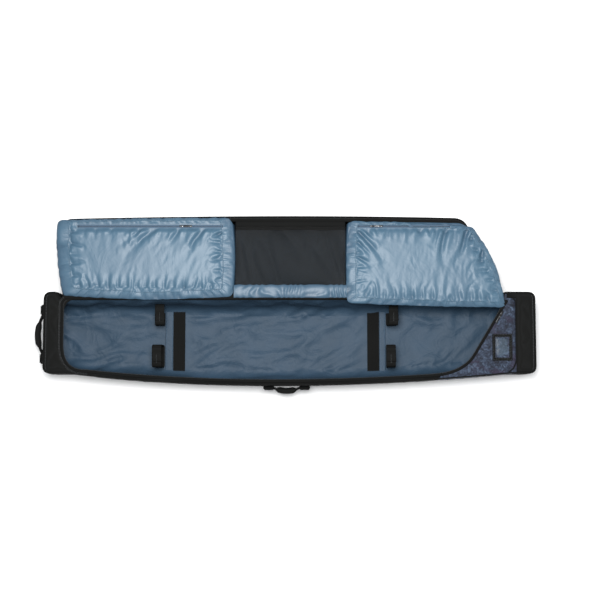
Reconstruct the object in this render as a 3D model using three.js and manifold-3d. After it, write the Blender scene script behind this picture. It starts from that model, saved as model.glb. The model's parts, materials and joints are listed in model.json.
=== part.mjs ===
// A double ski roller bag lying open on the floor, as an assembly of its sewn, moulded and metal pieces.
// Millimetres. +X runs along the bag to the wheel end, +Y to the opened lid, +Z up. The origin is on the
// floor, under the middle of the skid plate.
import * as THREE from "three";
import { mergeVertices } from "three/addons/utils/BufferGeometryUtils.js";
import Module from "manifold-3d";

const wasm = await Module();
wasm.setup();

// ---- Driving dimensions -------------------------------------------------------------------------

const BAG_LENGTH = 1964; // over the two end walls
const END_WIDTH = 324; // across the square ends
const RIM_HEIGHT = 150; // top of the tub's rim over the floor
const SIDE_BULGE = 47; // how far the filled near side swells past the ends
const FAR_INSET = 23; // how far the hinge side stands in from the ends
const INSET_PAST = 21; // how far that inset runs on past the left black end's line
const INSET_SHORT = 48; // how far it stops short of the right black end
const BULGE_SHORT = 24; // from the black ends back to where the near side starts to swell
const BULGE_SHIFT = 0.13; // how far left of the middle it swells most, as a share of half its length
const END_CORNER = 28; // corner radius of the ends
const END_DEPTH = 78; // black end section, measured along the bag

const WALL = 7; // padded side wall
const TOP_SHEET = 3; // fabric of the rim, caps and printed panel
const LINING = 2.5; // sewn-in lining
const BASE_SHEET = 8; // padded base
const SKID = 4; // moulded skid plate
const SKID_SIDES = [-105, 95]; // its near and far side
const SKID_SHORT = [44, 64]; // from the left and right black ends to the plate
const SKID_CORNER = 40;
const SEAM_GAP = 0.3; // clearance between pieces that touch
const CURVE_STEPS = 14; // segments of each curved stretch
const ROUND_STEPS = 5; // segments of each small rounding
const BEVEL_STEPS = 3;
const OVERCUT = 1; // how far a cut runs past the face that it opens

const GUSSET_WIDTH = 20; // zip gusset along the near rim
const HINGE_TAPE = 8; // tape along the hinge side
const MOUTH_TURN = 93; // length of the mouth's rounded left corner, along the near rim
const MOUTH_CORNERS = [44, 70]; // its rounded far left corner: along the rim, along the end
const MOUTH_STRAIGHT = -42; // where the straight left edge of the mouth ends
const MOUTH_SHORT = 38; // from the right black end back to the mouth's far corner
const DIAGONAL_FOOT = 264; // from the right black end back to where the slanted zip meets the near rim
const DIAGONAL_EASE = [60, 50]; // its curve leaves the rim this far before that point, and bends this far after
const DIAGONAL_KNEE = [169, -85]; // where it starts to curve: back from the right black end, and across
const PRINT_LENGTH = 304; // printed stretch of the near wall, up to the right black end
const PRINT_CORNER = [34, 26]; // cut-off far corner of the printed panel: along, across

const LID_WIDTH = 324; // hinge side to free edge
const LID_WALL = 6; // lid side walls
const LID_SHEET = 6; // lid outer panel
const LID_SWELL = 10; // how far the lid's free edge swells in its middle
const LID_DIAGONAL = 148; // how far the slanted end of the lid runs back
const LID_CORNER = 34; // its two free corners
const LID_EASE = 1; // rise of the free edge over the right corner
const LID_END_GAP = 8; // lid's right end to the end of the tub's inset
const FLANGE_START = 40; // from the lid's hinge side to the flange
const LID_FLANGE = 19; // zip gusset along the lid's free edge
const HINGE_GAP = 3; // from the hinge line to the wall on either side

const POUCH_CORNER = 20; // plan corner radius of the pouches
const POUCH_ROUND = 14; // rounding of their upper and lower edges
const LEFT_POUCH = 676; // lengths of the two pouches along the bag
const RIGHT_POUCH = 610;
const POUCH_WALL_GAP = 4; // pouch to lid wall
const SLANT_CLEAR = 6; // more room at the slanted wall
const MESH_SHEET = 3;
const MESH_HEM = 10; // elastic hem along the mesh pocket's mouth
const HEM_PROUD = 1; // hem over the mesh, above and below
const MOUTH_GAP = 12; // mouth of the mesh pocket
const GATHER_WIDTH = 36; // gathered strip beside the hinge

const STATIONS = [ // strap stations: left edges of the ski strap, sewn strip and floor band
  { strap: -550, strip: -509, stripWidth: 30, band: -476 },
  { strap: 395, strip: 368, stripWidth: 24, band: 319 },
];
const BAND_WIDTH = 46; // ribbed floor band
const STRAP_WIDTH = 38;
const STRAP_THICK = 3;
const STRAP_HEIGHT = 86; // loop height over the floor lining
const STRAP_LOOPS = [[30, 122], [-140, -42]]; // across the bag: far loop, near loop
const STRAP_CORNER = 24;
const BAND_THICK = 2.5;
const BAND_CLEAR = [4, 2]; // band's ends to the near and far lining

const HANDLE_HEIGHT = 82; // both webbing handles over the floor
const END_HANDLE = { low: -102, high: 94, pivot: 18, reach: 24, thick: 20, tall: 24 };
const SIDE_HANDLE = { low: -84, high: 60, pivot: 12, reach: 14, thick: 14, tall: 16 };
const GRIP_SHOULDER = [0.75, 0.2]; // shoulders of a grip, as shares of its reach and of its length
const GRIP_STEPS = 22;
const TAB_THICK = 4; // webbing tabs that carry the handles
const TAB_GAP = 5; // grip's end to the tab
const TAB_REACH = 7; // tab past the handle's pivot
const PATCH_THICK = 3; // reinforcing patch on the wall
const PATCH_SIZE = 44;

const WHEEL_RADIUS = 40;
const WHEEL_WIDTH = 30;
const WHEEL_LIFT = 1; // wheel over the floor while the bag lies flat
const WHEEL_SIDE = 110; // wheel middle from the bag's middle line
const WHEEL_CLEAR = 3; // wheel to housing, all round
const TYRE_THICK = 10;
const TREAD_ROUND = [4, 6]; // cut-back of the tread's edges: inwards, across
const TYRE_TAPER = 2; // tyre narrower at the hub, on each side
const HUB_WALL = 6; // thickness of the hub's boss and of its rim
const HUB_DISH = 8; // depth of the hollow between them, on each side
const HUB_STEP = 3; // hub's rim narrower than the tyre, on each side
const AXLE_RADIUS = 4;
const RUNNING_GAP = 0.3; // hub on axle
const HOUSING_DEPTH = 110; // moulded wheel housing, along the bag
const HOUSING_HEIGHT = 92;
const HOUSING_SUNK = 1; // housing behind the bag's end
const AXLE_SEAT = 5; // axle past each side of the wheel well
const TREAD_STEPS = 40;
const AXLE_STEPS = 20;

const TAG = { start: 96, length: 80, low: -113, high: -6, border: 12, thick: 3, corner: 6, sunk: 1 };
const POUCH_ZIP_ENDS = 46; // from the ends of a pouch to its zip
const SLIDER_REST = [-434, 330]; // along the bag, on the left and the right pouch
const SLIDER = { length: 16, width: 10, height: 7 };
const PULLER = { length: 34, width: 9, thick: 3, gap: 2, lift: 2 };
const MAIN_SLIDER = { share: 0.22, aside: 12 }; // along the slanted zip from its far end, and beside it
const ZIP_WIDTH = 12;
const ZIP_THICK = 2.4;

// ---- Derived sizes ------------------------------------------------------------------------------

const halfLength = BAG_LENGTH / 2;
const halfWidth = END_WIDTH / 2;
const capLine = halfLength - END_DEPTH;
const farFace = halfWidth - FAR_INSET;
const insetLeft = -capLine - INSET_PAST;
const insetRight = capLine - INSET_SHORT;
const printStart = capLine - PRINT_LENGTH;
const footX = capLine - DIAGONAL_FOOT;
const kneeX = capLine - DIAGONAL_KNEE[0];
const kneeY = DIAGONAL_KNEE[1];
const hingeY = farFace + HINGE_GAP;
const rimLow = RIM_HEIGHT - TOP_SHEET;
const baseLow = SKID + SEAM_GAP;
const wallLow = baseLow + BASE_SHEET + SEAM_GAP;
const liningTop = wallLow + LINING;
const floorTop = liningTop + SEAM_GAP;
const lidHinge = hingeY + HINGE_GAP;
const lidFree = hingeY + LID_WIDTH;
const lidLeft = -capLine - HINGE_GAP;
const openingLeft = -capLine;
const openingRight = capLine - MOUTH_SHORT;
const openingFar = farFace - HINGE_TAPE;
const lidRight = insetRight - LID_END_GAP;
const lidWallLow = LID_SHEET + SEAM_GAP;
const lidLiningTop = lidWallLow + LINING;
const wheelX = halfLength - WHEEL_RADIUS - WHEEL_CLEAR;
const wheelZ = WHEEL_RADIUS + WHEEL_LIFT;
const housingX = halfLength - HOUSING_DEPTH;
const BIG = BAG_LENGTH * 2;

// ---- Materials ----------------------------------------------------------------------------------

const material = (color, roughness, metalness = 0) =>
  new THREE.MeshStandardMaterial({ color, roughness, metalness });
const looks = {
  shell: ["#1e1e1d", 0.85],
  print: ["#434a57", 0.8],
  lining: ["#5b7792", 0.6],
  pouch: ["#8da6ba", 0.55],
  webbing: ["#141413", 0.9],
  mesh: ["#1c2428", 0.9],
  moulded: ["#202224", 0.5],
  tyre: ["#1a1a1a", 0.9],
  steel: ["#a9adb0", 0.3, 1],
  window: ["#8c98a3", 0.15],
};

// ---- Building blocks ----------------------------------------------------------------------------

const bag = new THREE.Group();

function add(name, geometry, look) {
  const mesh = new THREE.Mesh(geometry, material(...looks[look]));
  mesh.name = name;
  bag.add(mesh);
  return mesh;
}

function toSolid(geometry) {
  const bare = geometry.clone();
  bare.deleteAttribute("normal");
  bare.deleteAttribute("uv");
  const merged = mergeVertices(bare, 1e-4);
  return new wasm.Manifold(new wasm.Mesh({
    numProp: 3,
    vertProperties: merged.attributes.position.array,
    triVerts: new Uint32Array(merged.index.array),
  }));
}

function toGeometry(solid) {
  const mesh = solid.getMesh();
  const geometry = new THREE.BufferGeometry();
  geometry.setAttribute("position", new THREE.BufferAttribute(mesh.vertProperties, 3));
  geometry.setIndex(new THREE.BufferAttribute(mesh.triVerts, 1));
  geometry.computeVertexNormals();
  return geometry;
}

const vec = (x, y) => new THREE.Vector2(x, y);

function block(xLow, xHigh, yLow, yHigh, zLow, zHigh) {
  const geometry = new THREE.BoxGeometry(xHigh - xLow, yHigh - yLow, zHigh - zLow);
  return geometry.translate((xLow + xHigh) / 2, (yLow + yHigh) / 2, (zLow + zHigh) / 2);
}

function slab(outline, zLow, zHigh) {
  const shape = outline instanceof THREE.Shape ? outline : new THREE.Shape(outline);
  const geometry = new THREE.ExtrudeGeometry(shape, { depth: zHigh - zLow, bevelEnabled: false });
  return geometry.translate(0, 0, zLow);
}

// An outline moved sideways: positive distances go to the left of its direction, so inwards when it runs
// anticlockwise. Corners are mitred.
function offset(points, distance, closed = true) {
  const count = points.length;
  const at = (i) => (closed ? points[(i + count) % count] : points[THREE.MathUtils.clamp(i, 0, count - 1)]);
  const normal = (from, to) => vec(from.y - to.y, to.x - from.x).normalize();
  return points.map((point, i) => {
    const before = closed || i > 0 ? normal(at(i - 1), point) : normal(point, at(i + 1));
    const after = closed || i < count - 1 ? normal(point, at(i + 1)) : before;
    const mitre = before.clone().add(after).normalize();
    return point.clone().addScaledVector(mitre, distance / mitre.dot(before));
  });
}

function ribbon(points, thickness) {
  return [...points, ...offset(points, thickness, false).reverse()];
}

// A closed outline with every corner rounded.
function rounded(corners, radius) {
  const shape = new THREE.Shape();
  corners.forEach((corner, i) => {
    const before = corners[(i + corners.length - 1) % corners.length];
    const after = corners[(i + 1) % corners.length];
    const start = corner.clone().addScaledVector(before.clone().sub(corner).normalize(), radius);
    const end = corner.clone().addScaledVector(after.clone().sub(corner).normalize(), radius);
    if (i === 0) shape.moveTo(start.x, start.y);
    else shape.lineTo(start.x, start.y);
    shape.quadraticCurveTo(corner.x, corner.y, end.x, end.y);
  });
  shape.closePath();
  return shape;
}

// ---- The tub's plan -----------------------------------------------------------------------------

function tubOutline() {
  const shape = new THREE.Shape();
  const slope = FAR_INSET / 4;
  const bulgeReach = capLine - BULGE_SHORT;
  shape.moveTo(-halfLength + END_CORNER, -halfWidth);
  shape.lineTo(-bulgeReach, -halfWidth);
  shape.quadraticCurveTo(-BULGE_SHIFT * bulgeReach, -halfWidth - 2 * SIDE_BULGE, bulgeReach, -halfWidth);
  shape.lineTo(halfLength - END_CORNER, -halfWidth);
  shape.quadraticCurveTo(halfLength, -halfWidth, halfLength, -halfWidth + END_CORNER);
  shape.lineTo(halfLength, halfWidth - END_CORNER);
  shape.quadraticCurveTo(halfLength, halfWidth, halfLength - END_CORNER, halfWidth);
  shape.lineTo(insetRight + slope, halfWidth);
  shape.lineTo(insetRight - slope, farFace);
  shape.lineTo(insetLeft + slope, farFace);
  shape.lineTo(insetLeft - slope, halfWidth);
  shape.lineTo(-halfLength + END_CORNER, halfWidth);
  shape.quadraticCurveTo(-halfLength, halfWidth, -halfLength, halfWidth - END_CORNER);
  shape.lineTo(-halfLength, -halfWidth + END_CORNER);
  shape.quadraticCurveTo(-halfLength, -halfWidth, -halfLength + END_CORNER, -halfWidth);
  return shape.getPoints(CURVE_STEPS * 2).slice(0, -1);
}

const outline = tubOutline();

function nearEdge(x, inset = 0) {
  const line = offset(outline, inset).filter((point) => point.y < 0);
  const i = line.findIndex((point) => point.x >= x);
  const [a, b] = [line[i - 1], line[i]];
  return THREE.MathUtils.mapLinear(x, a.x, b.x, a.y, b.y);
}

// The mouth that the zip opens: square at the far side, a rounded U at the left, slanted at the right.
function mouthOutline() {
  const shape = new THREE.Shape();
  const [easeBefore, easeAfter] = DIAGONAL_EASE;
  const leftTurn = openingLeft + MOUTH_TURN;
  shape.moveTo(openingLeft + MOUTH_CORNERS[0], openingFar);
  shape.quadraticCurveTo(openingLeft, openingFar, openingLeft, openingFar - MOUTH_CORNERS[1]);
  shape.lineTo(openingLeft, MOUTH_STRAIGHT);
  const turnY = nearEdge(leftTurn, GUSSET_WIDTH);
  shape.quadraticCurveTo(openingLeft, turnY, leftTurn, turnY);
  const rim = offset(outline, GUSSET_WIDTH)
    .filter((point) => point.y < 0 && point.x > leftTurn && point.x < footX - easeBefore);
  rim.forEach((point) => shape.lineTo(point.x, point.y));
  shape.quadraticCurveTo(footX + easeAfter, nearEdge(footX, GUSSET_WIDTH), kneeX, kneeY);
  shape.lineTo(openingRight, openingFar);
  shape.closePath();
  return new THREE.Shape(shape.getPoints(CURVE_STEPS));
}

// Everything of the rim that is printed: from the slanted zip to the black end section.
function printOutline(grow) {
  const [cutAlong, cutAcross] = PRINT_CORNER;
  return [
    vec(printStart - grow, -BIG), vec(capLine + grow, -BIG),
    vec(capLine + grow, halfWidth - cutAcross), vec(capLine - cutAlong, farFace + grow),
    vec(capLine - cutAlong, BIG), vec(printStart - grow, BIG),
  ];
}

// ---- Tub ----------------------------------------------------------------------------------------

const housingSide = halfWidth - WALL;
const housingTop = HOUSING_HEIGHT + SEAM_GAP;
const housingCut = toSolid(block(housingX - SEAM_GAP, BIG, -housingSide, housingSide, -BIG, housingTop));

function addBase() {
  const [near, far] = SKID_SIDES;
  const [left, right] = [SKID_SHORT[0] - capLine, capLine - SKID_SHORT[1]];
  const skid = [vec(left, near), vec(right, near), vec(right, far), vec(left, far)];
  add("skid_plate", slab(rounded(skid, SKID_CORNER), 0, SKID), "moulded");
  const base = toSolid(slab(outline, baseLow, baseLow + BASE_SHEET)).subtract(housingCut);
  add("base_panel", toGeometry(base), "shell");
}

function addWalls() {
  const ring = toSolid(slab(outline, wallLow, rimLow - SEAM_GAP))
    .subtract(toSolid(slab(offset(outline, WALL), 0, RIM_HEIGHT)))
    .subtract(housingCut);
  const leftEnd = BULGE_SHORT - capLine;
  const rightEnd = insetRight - FAR_INSET / 2;
  const cut = (...limits) => ring.intersect(toSolid(block(...limits, -BIG, BIG)));
  add("left_end_wall", toGeometry(cut(-BIG, leftEnd, -BIG, BIG)), "shell");
  add("right_end_wall", toGeometry(cut(capLine, BIG, -BIG, 1).add(cut(rightEnd, BIG, 0, BIG))), "shell");
  add("near_wall", toGeometry(cut(leftEnd + SEAM_GAP, printStart, -BIG, 0)), "shell");
  add("near_wall_print", toGeometry(cut(printStart + SEAM_GAP, capLine - SEAM_GAP, -BIG, 0)), "print");
  add("far_wall", toGeometry(cut(leftEnd + SEAM_GAP, rightEnd - SEAM_GAP, 0, BIG)), "shell");
}

function addRim() {
  const top = toSolid(slab(outline, rimLow, RIM_HEIGHT)).subtract(toSolid(slab(mouthOutline(), 0, BIG)));
  const capEdge = openingLeft + MOUTH_TURN;
  const cut = (...limits) => top.intersect(toSolid(block(...limits, -BIG, BIG)));
  const print = (grow) => toSolid(slab(printOutline(grow), 0, BIG));
  add("left_cap_top", toGeometry(cut(-BIG, capEdge, -BIG, BIG)), "shell");
  add("near_gusset", toGeometry(cut(capEdge + SEAM_GAP, printStart - SEAM_GAP, -BIG, 0)), "webbing");
  const farLimit = insetRight - FAR_INSET / 2;
  add("hinge_tape", toGeometry(cut(capEdge + SEAM_GAP, farLimit, openingFar, BIG)), "webbing");
  const slantedSide = cut(printStart, BIG, -BIG, openingFar - SEAM_GAP);
  const rightTop = slantedSide.add(cut(farLimit + SEAM_GAP, BIG, 0, BIG));
  add("print_panel", toGeometry(rightTop.intersect(print(-SEAM_GAP / 2))), "print");
  add("right_cap_top", toGeometry(rightTop.subtract(print(SEAM_GAP / 2))), "shell");
}

// The lining stands inside the walls from the left end to the wheel housing, and lies on the base.
function liningOutline(inset) {
  const inner = toSolid(slab(offset(outline, WALL + SEAM_GAP + inset), 0, 1));
  const limit = toSolid(block(-BIG, housingX - 2 * SEAM_GAP - inset, -BIG, BIG, -1, 2));
  return inner.intersect(limit);
}

function stretch(solid, zLow, zHigh) {
  return toSolid(toGeometry(solid).clone().scale(1, 1, zHigh - zLow).translate(0, 0, zLow));
}

function addLining() {
  const floor = stretch(liningOutline(LINING + SEAM_GAP), wallLow, liningTop);
  add("floor_lining", toGeometry(floor), "lining");
  const ring = stretch(liningOutline(0), wallLow, rimLow - SEAM_GAP)
    .subtract(stretch(liningOutline(LINING), 0, RIM_HEIGHT));
  add("wall_lining", toGeometry(ring), "lining");
}

// ---- Strap stations -----------------------------------------------------------------------------

function strapLoop([yLow, yHigh]) {
  const corners = (inset) => rounded([
    vec(yLow + inset, floorTop + inset), vec(yHigh - inset, floorTop + inset),
    vec(yHigh - inset, floorTop + STRAP_HEIGHT - inset), vec(yLow + inset, floorTop + STRAP_HEIGHT - inset),
  ], STRAP_CORNER - inset / 2);
  const shape = corners(0);
  shape.holes.push(corners(STRAP_THICK));
  const loop = new THREE.ExtrudeGeometry(shape, {
    depth: STRAP_WIDTH, bevelEnabled: false, curveSegments: ROUND_STEPS,
  });
  return loop.rotateX(Math.PI / 2).rotateZ(Math.PI / 2);
}

function addStations() {
  const inner = WALL + LINING + 3 * SEAM_GAP;
  const farEnd = farFace - inner - BAND_CLEAR[1];
  STATIONS.forEach((station, i) => {
    const nearEnd = nearEdge(station.band, inner) + BAND_CLEAR[0];
    const bandTop = floorTop + BAND_THICK;
    const flat = (left, width) => block(left, left + width, nearEnd, farEnd, floorTop, bandTop);
    add(`floor_band_${i + 1}`, flat(station.band, BAND_WIDTH), "webbing");
    add(`floor_strip_${i + 1}`, flat(station.strip, station.stripWidth), "pouch");
    STRAP_LOOPS.forEach((limits, j) => {
      add(`ski_strap_${2 * i + j + 1}`, strapLoop(limits).translate(station.strap, 0, 0), "webbing");
    });
  });
}

// ---- Handles ------------------------------------------------------------------------------------

// A webbing handle in a level plane, its ends facing the tabs along Y. It swells outwards, to -X.
function handleGrip({ low, high, reach, thick, tall }) {
  const swell = reach - thick / 2;
  const out = -GRIP_SHOULDER[0] * swell;
  const back = GRIP_SHOULDER[1] * (high - low);
  const path = new THREE.CatmullRomCurve3([
    new THREE.Vector3(0, high, 0), new THREE.Vector3(out, high - back, 0),
    new THREE.Vector3(-swell, (high + low) / 2, 0),
    new THREE.Vector3(out, low + back, 0), new THREE.Vector3(0, low, 0),
  ]);
  const section = new THREE.Shape();
  section.absellipse(0, 0, tall / 2, thick / 2, 0, 2 * Math.PI);
  return new THREE.ExtrudeGeometry(section, {
    steps: GRIP_STEPS, extrudePath: path, curveSegments: ROUND_STEPS,
  });
}

// A sewn patch on the wall with a tab that stands out beside the grip's end.
function handlePatch(side, pivot) {
  const half = PATCH_SIZE / 2;
  const plate = toSolid(block(-PATCH_THICK, 0, -half, half, -half, half));
  const tab = toSolid(block(-pivot - TAB_REACH, -PATCH_THICK / 2, 0, TAB_THICK, -TAB_REACH, TAB_REACH));
  const patch = toGeometry(plate.add(tab));
  return side > 0 ? patch : toGeometry(toSolid(patch).mirror([0, 1, 0]));
}

function addHandle(name, handle, place) {
  const { pivot } = handle;
  const inner = { ...handle, low: handle.low + TAB_GAP, high: handle.high - TAB_GAP };
  add(`${name}_handle`, place(handleGrip(inner).translate(-pivot, 0, 0)), "webbing");
  add(`${name}_handle_patch_1`, place(handlePatch(1, pivot).translate(0, handle.high, 0)), "webbing");
  add(`${name}_handle_patch_2`, place(handlePatch(-1, pivot).translate(0, handle.low, 0)), "webbing");
}

function addHandles() {
  addHandle("end", END_HANDLE, (g) => g.translate(-halfLength - SEAM_GAP, 0, HANDLE_HEIGHT));
  const middle = (SIDE_HANDLE.low + SIDE_HANDLE.high) / 2;
  const wallY = Math.min(nearEdge(SIDE_HANDLE.low), nearEdge(middle), nearEdge(SIDE_HANDLE.high));
  addHandle("side", { ...SIDE_HANDLE, low: -SIDE_HANDLE.high, high: -SIDE_HANDLE.low }, (g) =>
    g.rotateZ(Math.PI / 2).translate(0, wallY - SEAM_GAP, HANDLE_HEIGHT));
}

// ---- Wheel end ----------------------------------------------------------------------------------

// A ring turned about the Y axis: profile points are [radius, across].
function turned(profile, steps) {
  const points = [...profile, profile[0]].map(([radius, across]) => vec(radius, across));
  return new THREE.LatheGeometry(points, steps);
}

function addWheel(name, side) {
  const half = WHEEL_WIDTH / 2;
  const rim = WHEEL_RADIUS - TYRE_THICK;
  const place = (geometry) => geometry.translate(wheelX, side * WHEEL_SIDE, wheelZ);
  const [roundIn, roundAcross] = TREAD_ROUND;
  const tread = [
    [rim + SEAM_GAP, TYRE_TAPER - half], [WHEEL_RADIUS - roundIn, -half], [WHEEL_RADIUS, roundAcross - half],
    [WHEEL_RADIUS, half - roundAcross], [WHEEL_RADIUS - roundIn, half], [rim + SEAM_GAP, half - TYRE_TAPER],
  ];
  add(`${name}_tyre`, place(turned(tread, TREAD_STEPS)), "tyre");
  const boss = AXLE_RADIUS + RUNNING_GAP;
  const hub = [
    [boss, -half], [boss + HUB_WALL, -half], [rim - HUB_WALL, HUB_DISH - half], [rim, HUB_STEP - half],
    [rim, half - HUB_STEP], [rim - HUB_WALL, half - HUB_DISH], [boss + HUB_WALL, half], [boss, half],
  ];
  add(`${name}_hub`, place(turned(hub, TREAD_STEPS)), "moulded");
  const axleLength = WHEEL_WIDTH + 2 * (WHEEL_CLEAR + AXLE_SEAT);
  const axle = new THREE.CylinderGeometry(AXLE_RADIUS, AXLE_RADIUS, axleLength, AXLE_STEPS);
  add(`${name}_axle`, place(axle), "steel");
}

function addHousing() {
  const halfSpan = halfWidth - WALL - SEAM_GAP;
  const endX = halfLength - HOUSING_SUNK;
  let housing = toSolid(block(housingX, endX, -halfSpan, halfSpan, baseLow, HOUSING_HEIGHT));
  const well = WHEEL_WIDTH / 2 + WHEEL_CLEAR;
  const reach = WHEEL_RADIUS + WHEEL_CLEAR;
  for (const side of [-1, 1]) {
    const y = side * WHEEL_SIDE;
    const turnedCut = (radius, length, steps) =>
      toSolid(new THREE.CylinderGeometry(radius, radius, length, steps).translate(wheelX, y, wheelZ));
    housing = housing.subtract(turnedCut(reach, 2 * well, TREAD_STEPS));
    housing = housing.subtract(toSolid(block(wheelX - reach, BIG, y - well, y + well, -BIG, wheelZ)));
    const mouth = block(wheelX, BIG, y - well, y + well, wheelZ - OVERCUT, wheelZ + reach);
    housing = housing.subtract(toSolid(mouth));
    const bore = AXLE_RADIUS + SEAM_GAP;
    const seat = 2 * (well + AXLE_SEAT + OVERCUT);
    housing = housing.subtract(turnedCut(bore, seat, AXLE_STEPS));
  }
  add("wheel_housing", toGeometry(housing), "moulded");
}

// ---- Tag window ---------------------------------------------------------------------------------

function addTag() {
  const { start, length, low, high, border, thick, corner, sunk } = TAG;
  const left = capLine - start;
  const right = left + length;
  const ring = (inset) => rounded([
    vec(left + inset, low + inset), vec(right - inset, low + inset),
    vec(right - inset, high - inset), vec(left + inset, high - inset)], corner);
  const frame = ring(0);
  frame.holes.push(ring(border));
  const base = RIM_HEIGHT + SEAM_GAP;
  add("tag_frame", slab(frame, base, base + thick), "webbing");
  add("tag_window", slab(ring(border + SEAM_GAP), base, RIM_HEIGHT + thick - sunk), "window");
}

// ---- Lid, lying open on the floor ---------------------------------------------------------------

function lidOutline() {
  const shape = new THREE.Shape();
  const corner = LID_CORNER;
  const freeRight = lidRight - LID_DIAGONAL;
  const slant = vec(LID_DIAGONAL, lidHinge - lidFree).normalize();
  shape.moveTo(lidLeft, lidHinge);
  shape.lineTo(lidRight, lidHinge);
  shape.lineTo(freeRight + slant.x * corner, lidFree - LID_SWELL + slant.y * corner);
  shape.quadraticCurveTo(freeRight, lidFree - LID_SWELL, freeRight - corner, lidFree - LID_SWELL + LID_EASE);
  const middle = (freeRight + lidLeft) / 2;
  shape.quadraticCurveTo(middle, lidFree + LID_SWELL, lidLeft + corner, lidFree - LID_SWELL);
  shape.quadraticCurveTo(lidLeft, lidFree - LID_SWELL, lidLeft, lidFree - LID_SWELL - corner);
  shape.closePath();
  return shape.getPoints(CURVE_STEPS).slice(0, -1);
}

const lidPlan = lidOutline();

function addLidShell() {
  add("lid_panel", slab(lidPlan, 0, LID_SHEET), "shell");
  add("lid_lining", slab(offset(lidPlan, LID_WALL + SEAM_GAP), lidWallLow, lidLiningTop), "lining");
  const ring = toSolid(slab(lidPlan, lidWallLow, rimLow - SEAM_GAP))
    .subtract(toSolid(slab(offset(lidPlan, LID_WALL), 0, BIG)));
  const slantEnd = lidRight - LID_DIAGONAL - LID_CORNER;
  const cut = (...limits) => toGeometry(ring.intersect(toSolid(block(...limits, -BIG, BIG))));
  const farLine = lidHinge + LID_WALL;
  add("lid_hinge_wall", cut(-BIG, BIG, 0, farLine), "shell");
  add("lid_left_wall", cut(-BIG, lidLeft + LID_CORNER, farLine + SEAM_GAP, BIG), "shell");
  add("lid_free_wall", cut(lidLeft + LID_CORNER + SEAM_GAP, slantEnd, farLine + SEAM_GAP, BIG), "shell");
  add("lid_slanted_wall", cut(slantEnd + SEAM_GAP, BIG, farLine + SEAM_GAP, BIG), "print");
  const flange = toSolid(slab(lidPlan, rimLow, RIM_HEIGHT))
    .subtract(toSolid(slab(offset(lidPlan, LID_FLANGE), 0, BIG)))
    .intersect(toSolid(block(-BIG, BIG, lidHinge + FLANGE_START, BIG, 0, BIG)));
  add("lid_zip_gusset", toGeometry(flange), "webbing");
}

// ---- Pouches and mesh pocket --------------------------------------------------------------------

const pouchLow = lidHinge + LID_WALL + POUCH_WALL_GAP;
const pouchHigh = lidFree - LID_SWELL - LID_WALL - POUCH_WALL_GAP;
const pouchTop = rimLow - SEAM_GAP;
const leftPouchX = lidLeft + LID_WALL + POUCH_WALL_GAP;
const rightPouchX = lidRight - LID_WALL - POUCH_WALL_GAP;

function puffed(corners, zLow, zHigh) {
  const inner = offset(corners, POUCH_ROUND);
  const shape = rounded(inner, POUCH_CORNER);
  const geometry = new THREE.ExtrudeGeometry(shape, {
    depth: zHigh - zLow - 2 * POUCH_ROUND, bevelThickness: POUCH_ROUND, bevelSize: POUCH_ROUND,
    bevelSegments: BEVEL_STEPS, curveSegments: ROUND_STEPS,
  });
  return geometry.translate(0, 0, zLow + POUCH_ROUND);
}

function addPouches() {
  const low = lidLiningTop + SEAM_GAP;
  const left = [
    vec(leftPouchX, pouchLow), vec(leftPouchX + LEFT_POUCH, pouchLow),
    vec(leftPouchX + LEFT_POUCH, pouchHigh), vec(leftPouchX, pouchHigh)];
  add("left_pouch", puffed(left, low, pouchTop), "pouch");
  const slant = LID_DIAGONAL * (pouchHigh - pouchLow) / (lidFree - LID_SWELL - lidHinge);
  const innerX = rightPouchX - RIGHT_POUCH;
  const right = [
    vec(innerX, pouchLow), vec(rightPouchX - SLANT_CLEAR, pouchLow),
    vec(rightPouchX - SLANT_CLEAR - slant, pouchHigh), vec(innerX, pouchHigh)];
  add("right_pouch", puffed(right, low, pouchTop), "pouch");
}

function addMeshPocket() {
  const xLow = leftPouchX + LEFT_POUCH + POUCH_WALL_GAP;
  const xHigh = rightPouchX - RIGHT_POUCH - POUCH_WALL_GAP;
  const gatherEnd = lidHinge + LID_WALL + GATHER_WIDTH;
  const freeInner = lidFree - LID_SWELL - LID_FLANGE;
  const hemHigh = freeInner - MOUTH_GAP;
  const low = pouchTop - MESH_SHEET;
  const hemLow = hemHigh - MESH_HEM;
  add("gathered_strip", block(xLow, xHigh, lidHinge + SEAM_GAP, gatherEnd, rimLow, RIM_HEIGHT), "pouch");
  add("mesh_panel", block(xLow, xHigh, gatherEnd + SEAM_GAP, hemLow - SEAM_GAP, low, pouchTop), "mesh");
  add("mesh_hem", block(xLow, xHigh, hemLow, hemHigh, low - HEM_PROUD, pouchTop + HEM_PROUD), "webbing");
}

// ---- Zips ---------------------------------------------------------------------------------------

function addSlider(name, x, y, z, turn) {
  const { length, width, height } = SLIDER;
  const place = (geometry) => geometry.rotateZ(turn).translate(x, y, z);
  const body = block(-length / 2, length / 2, -width / 2, width / 2, 0, height);
  add(`${name}_slider`, place(body), "steel");
  const start = length / 2 + PULLER.gap;
  const half = PULLER.width / 2;
  const top = PULLER.lift + PULLER.thick;
  const puller = block(start, start + PULLER.length, -half, half, PULLER.lift, top);
  add(`${name}_puller`, place(puller), "webbing");
}

function addPouchZip(name, xLow, xHigh, sliderX) {
  const y = pouchHigh - POUCH_ROUND - ZIP_WIDTH / 2;
  const low = pouchTop + SEAM_GAP;
  const tape = block(xLow, xHigh, y - ZIP_WIDTH / 2, y + ZIP_WIDTH / 2, low, low + ZIP_THICK);
  add(`${name}_zip`, tape, "pouch");
  addSlider(name, sliderX, y, low + ZIP_THICK + SEAM_GAP, 0);
}

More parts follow.
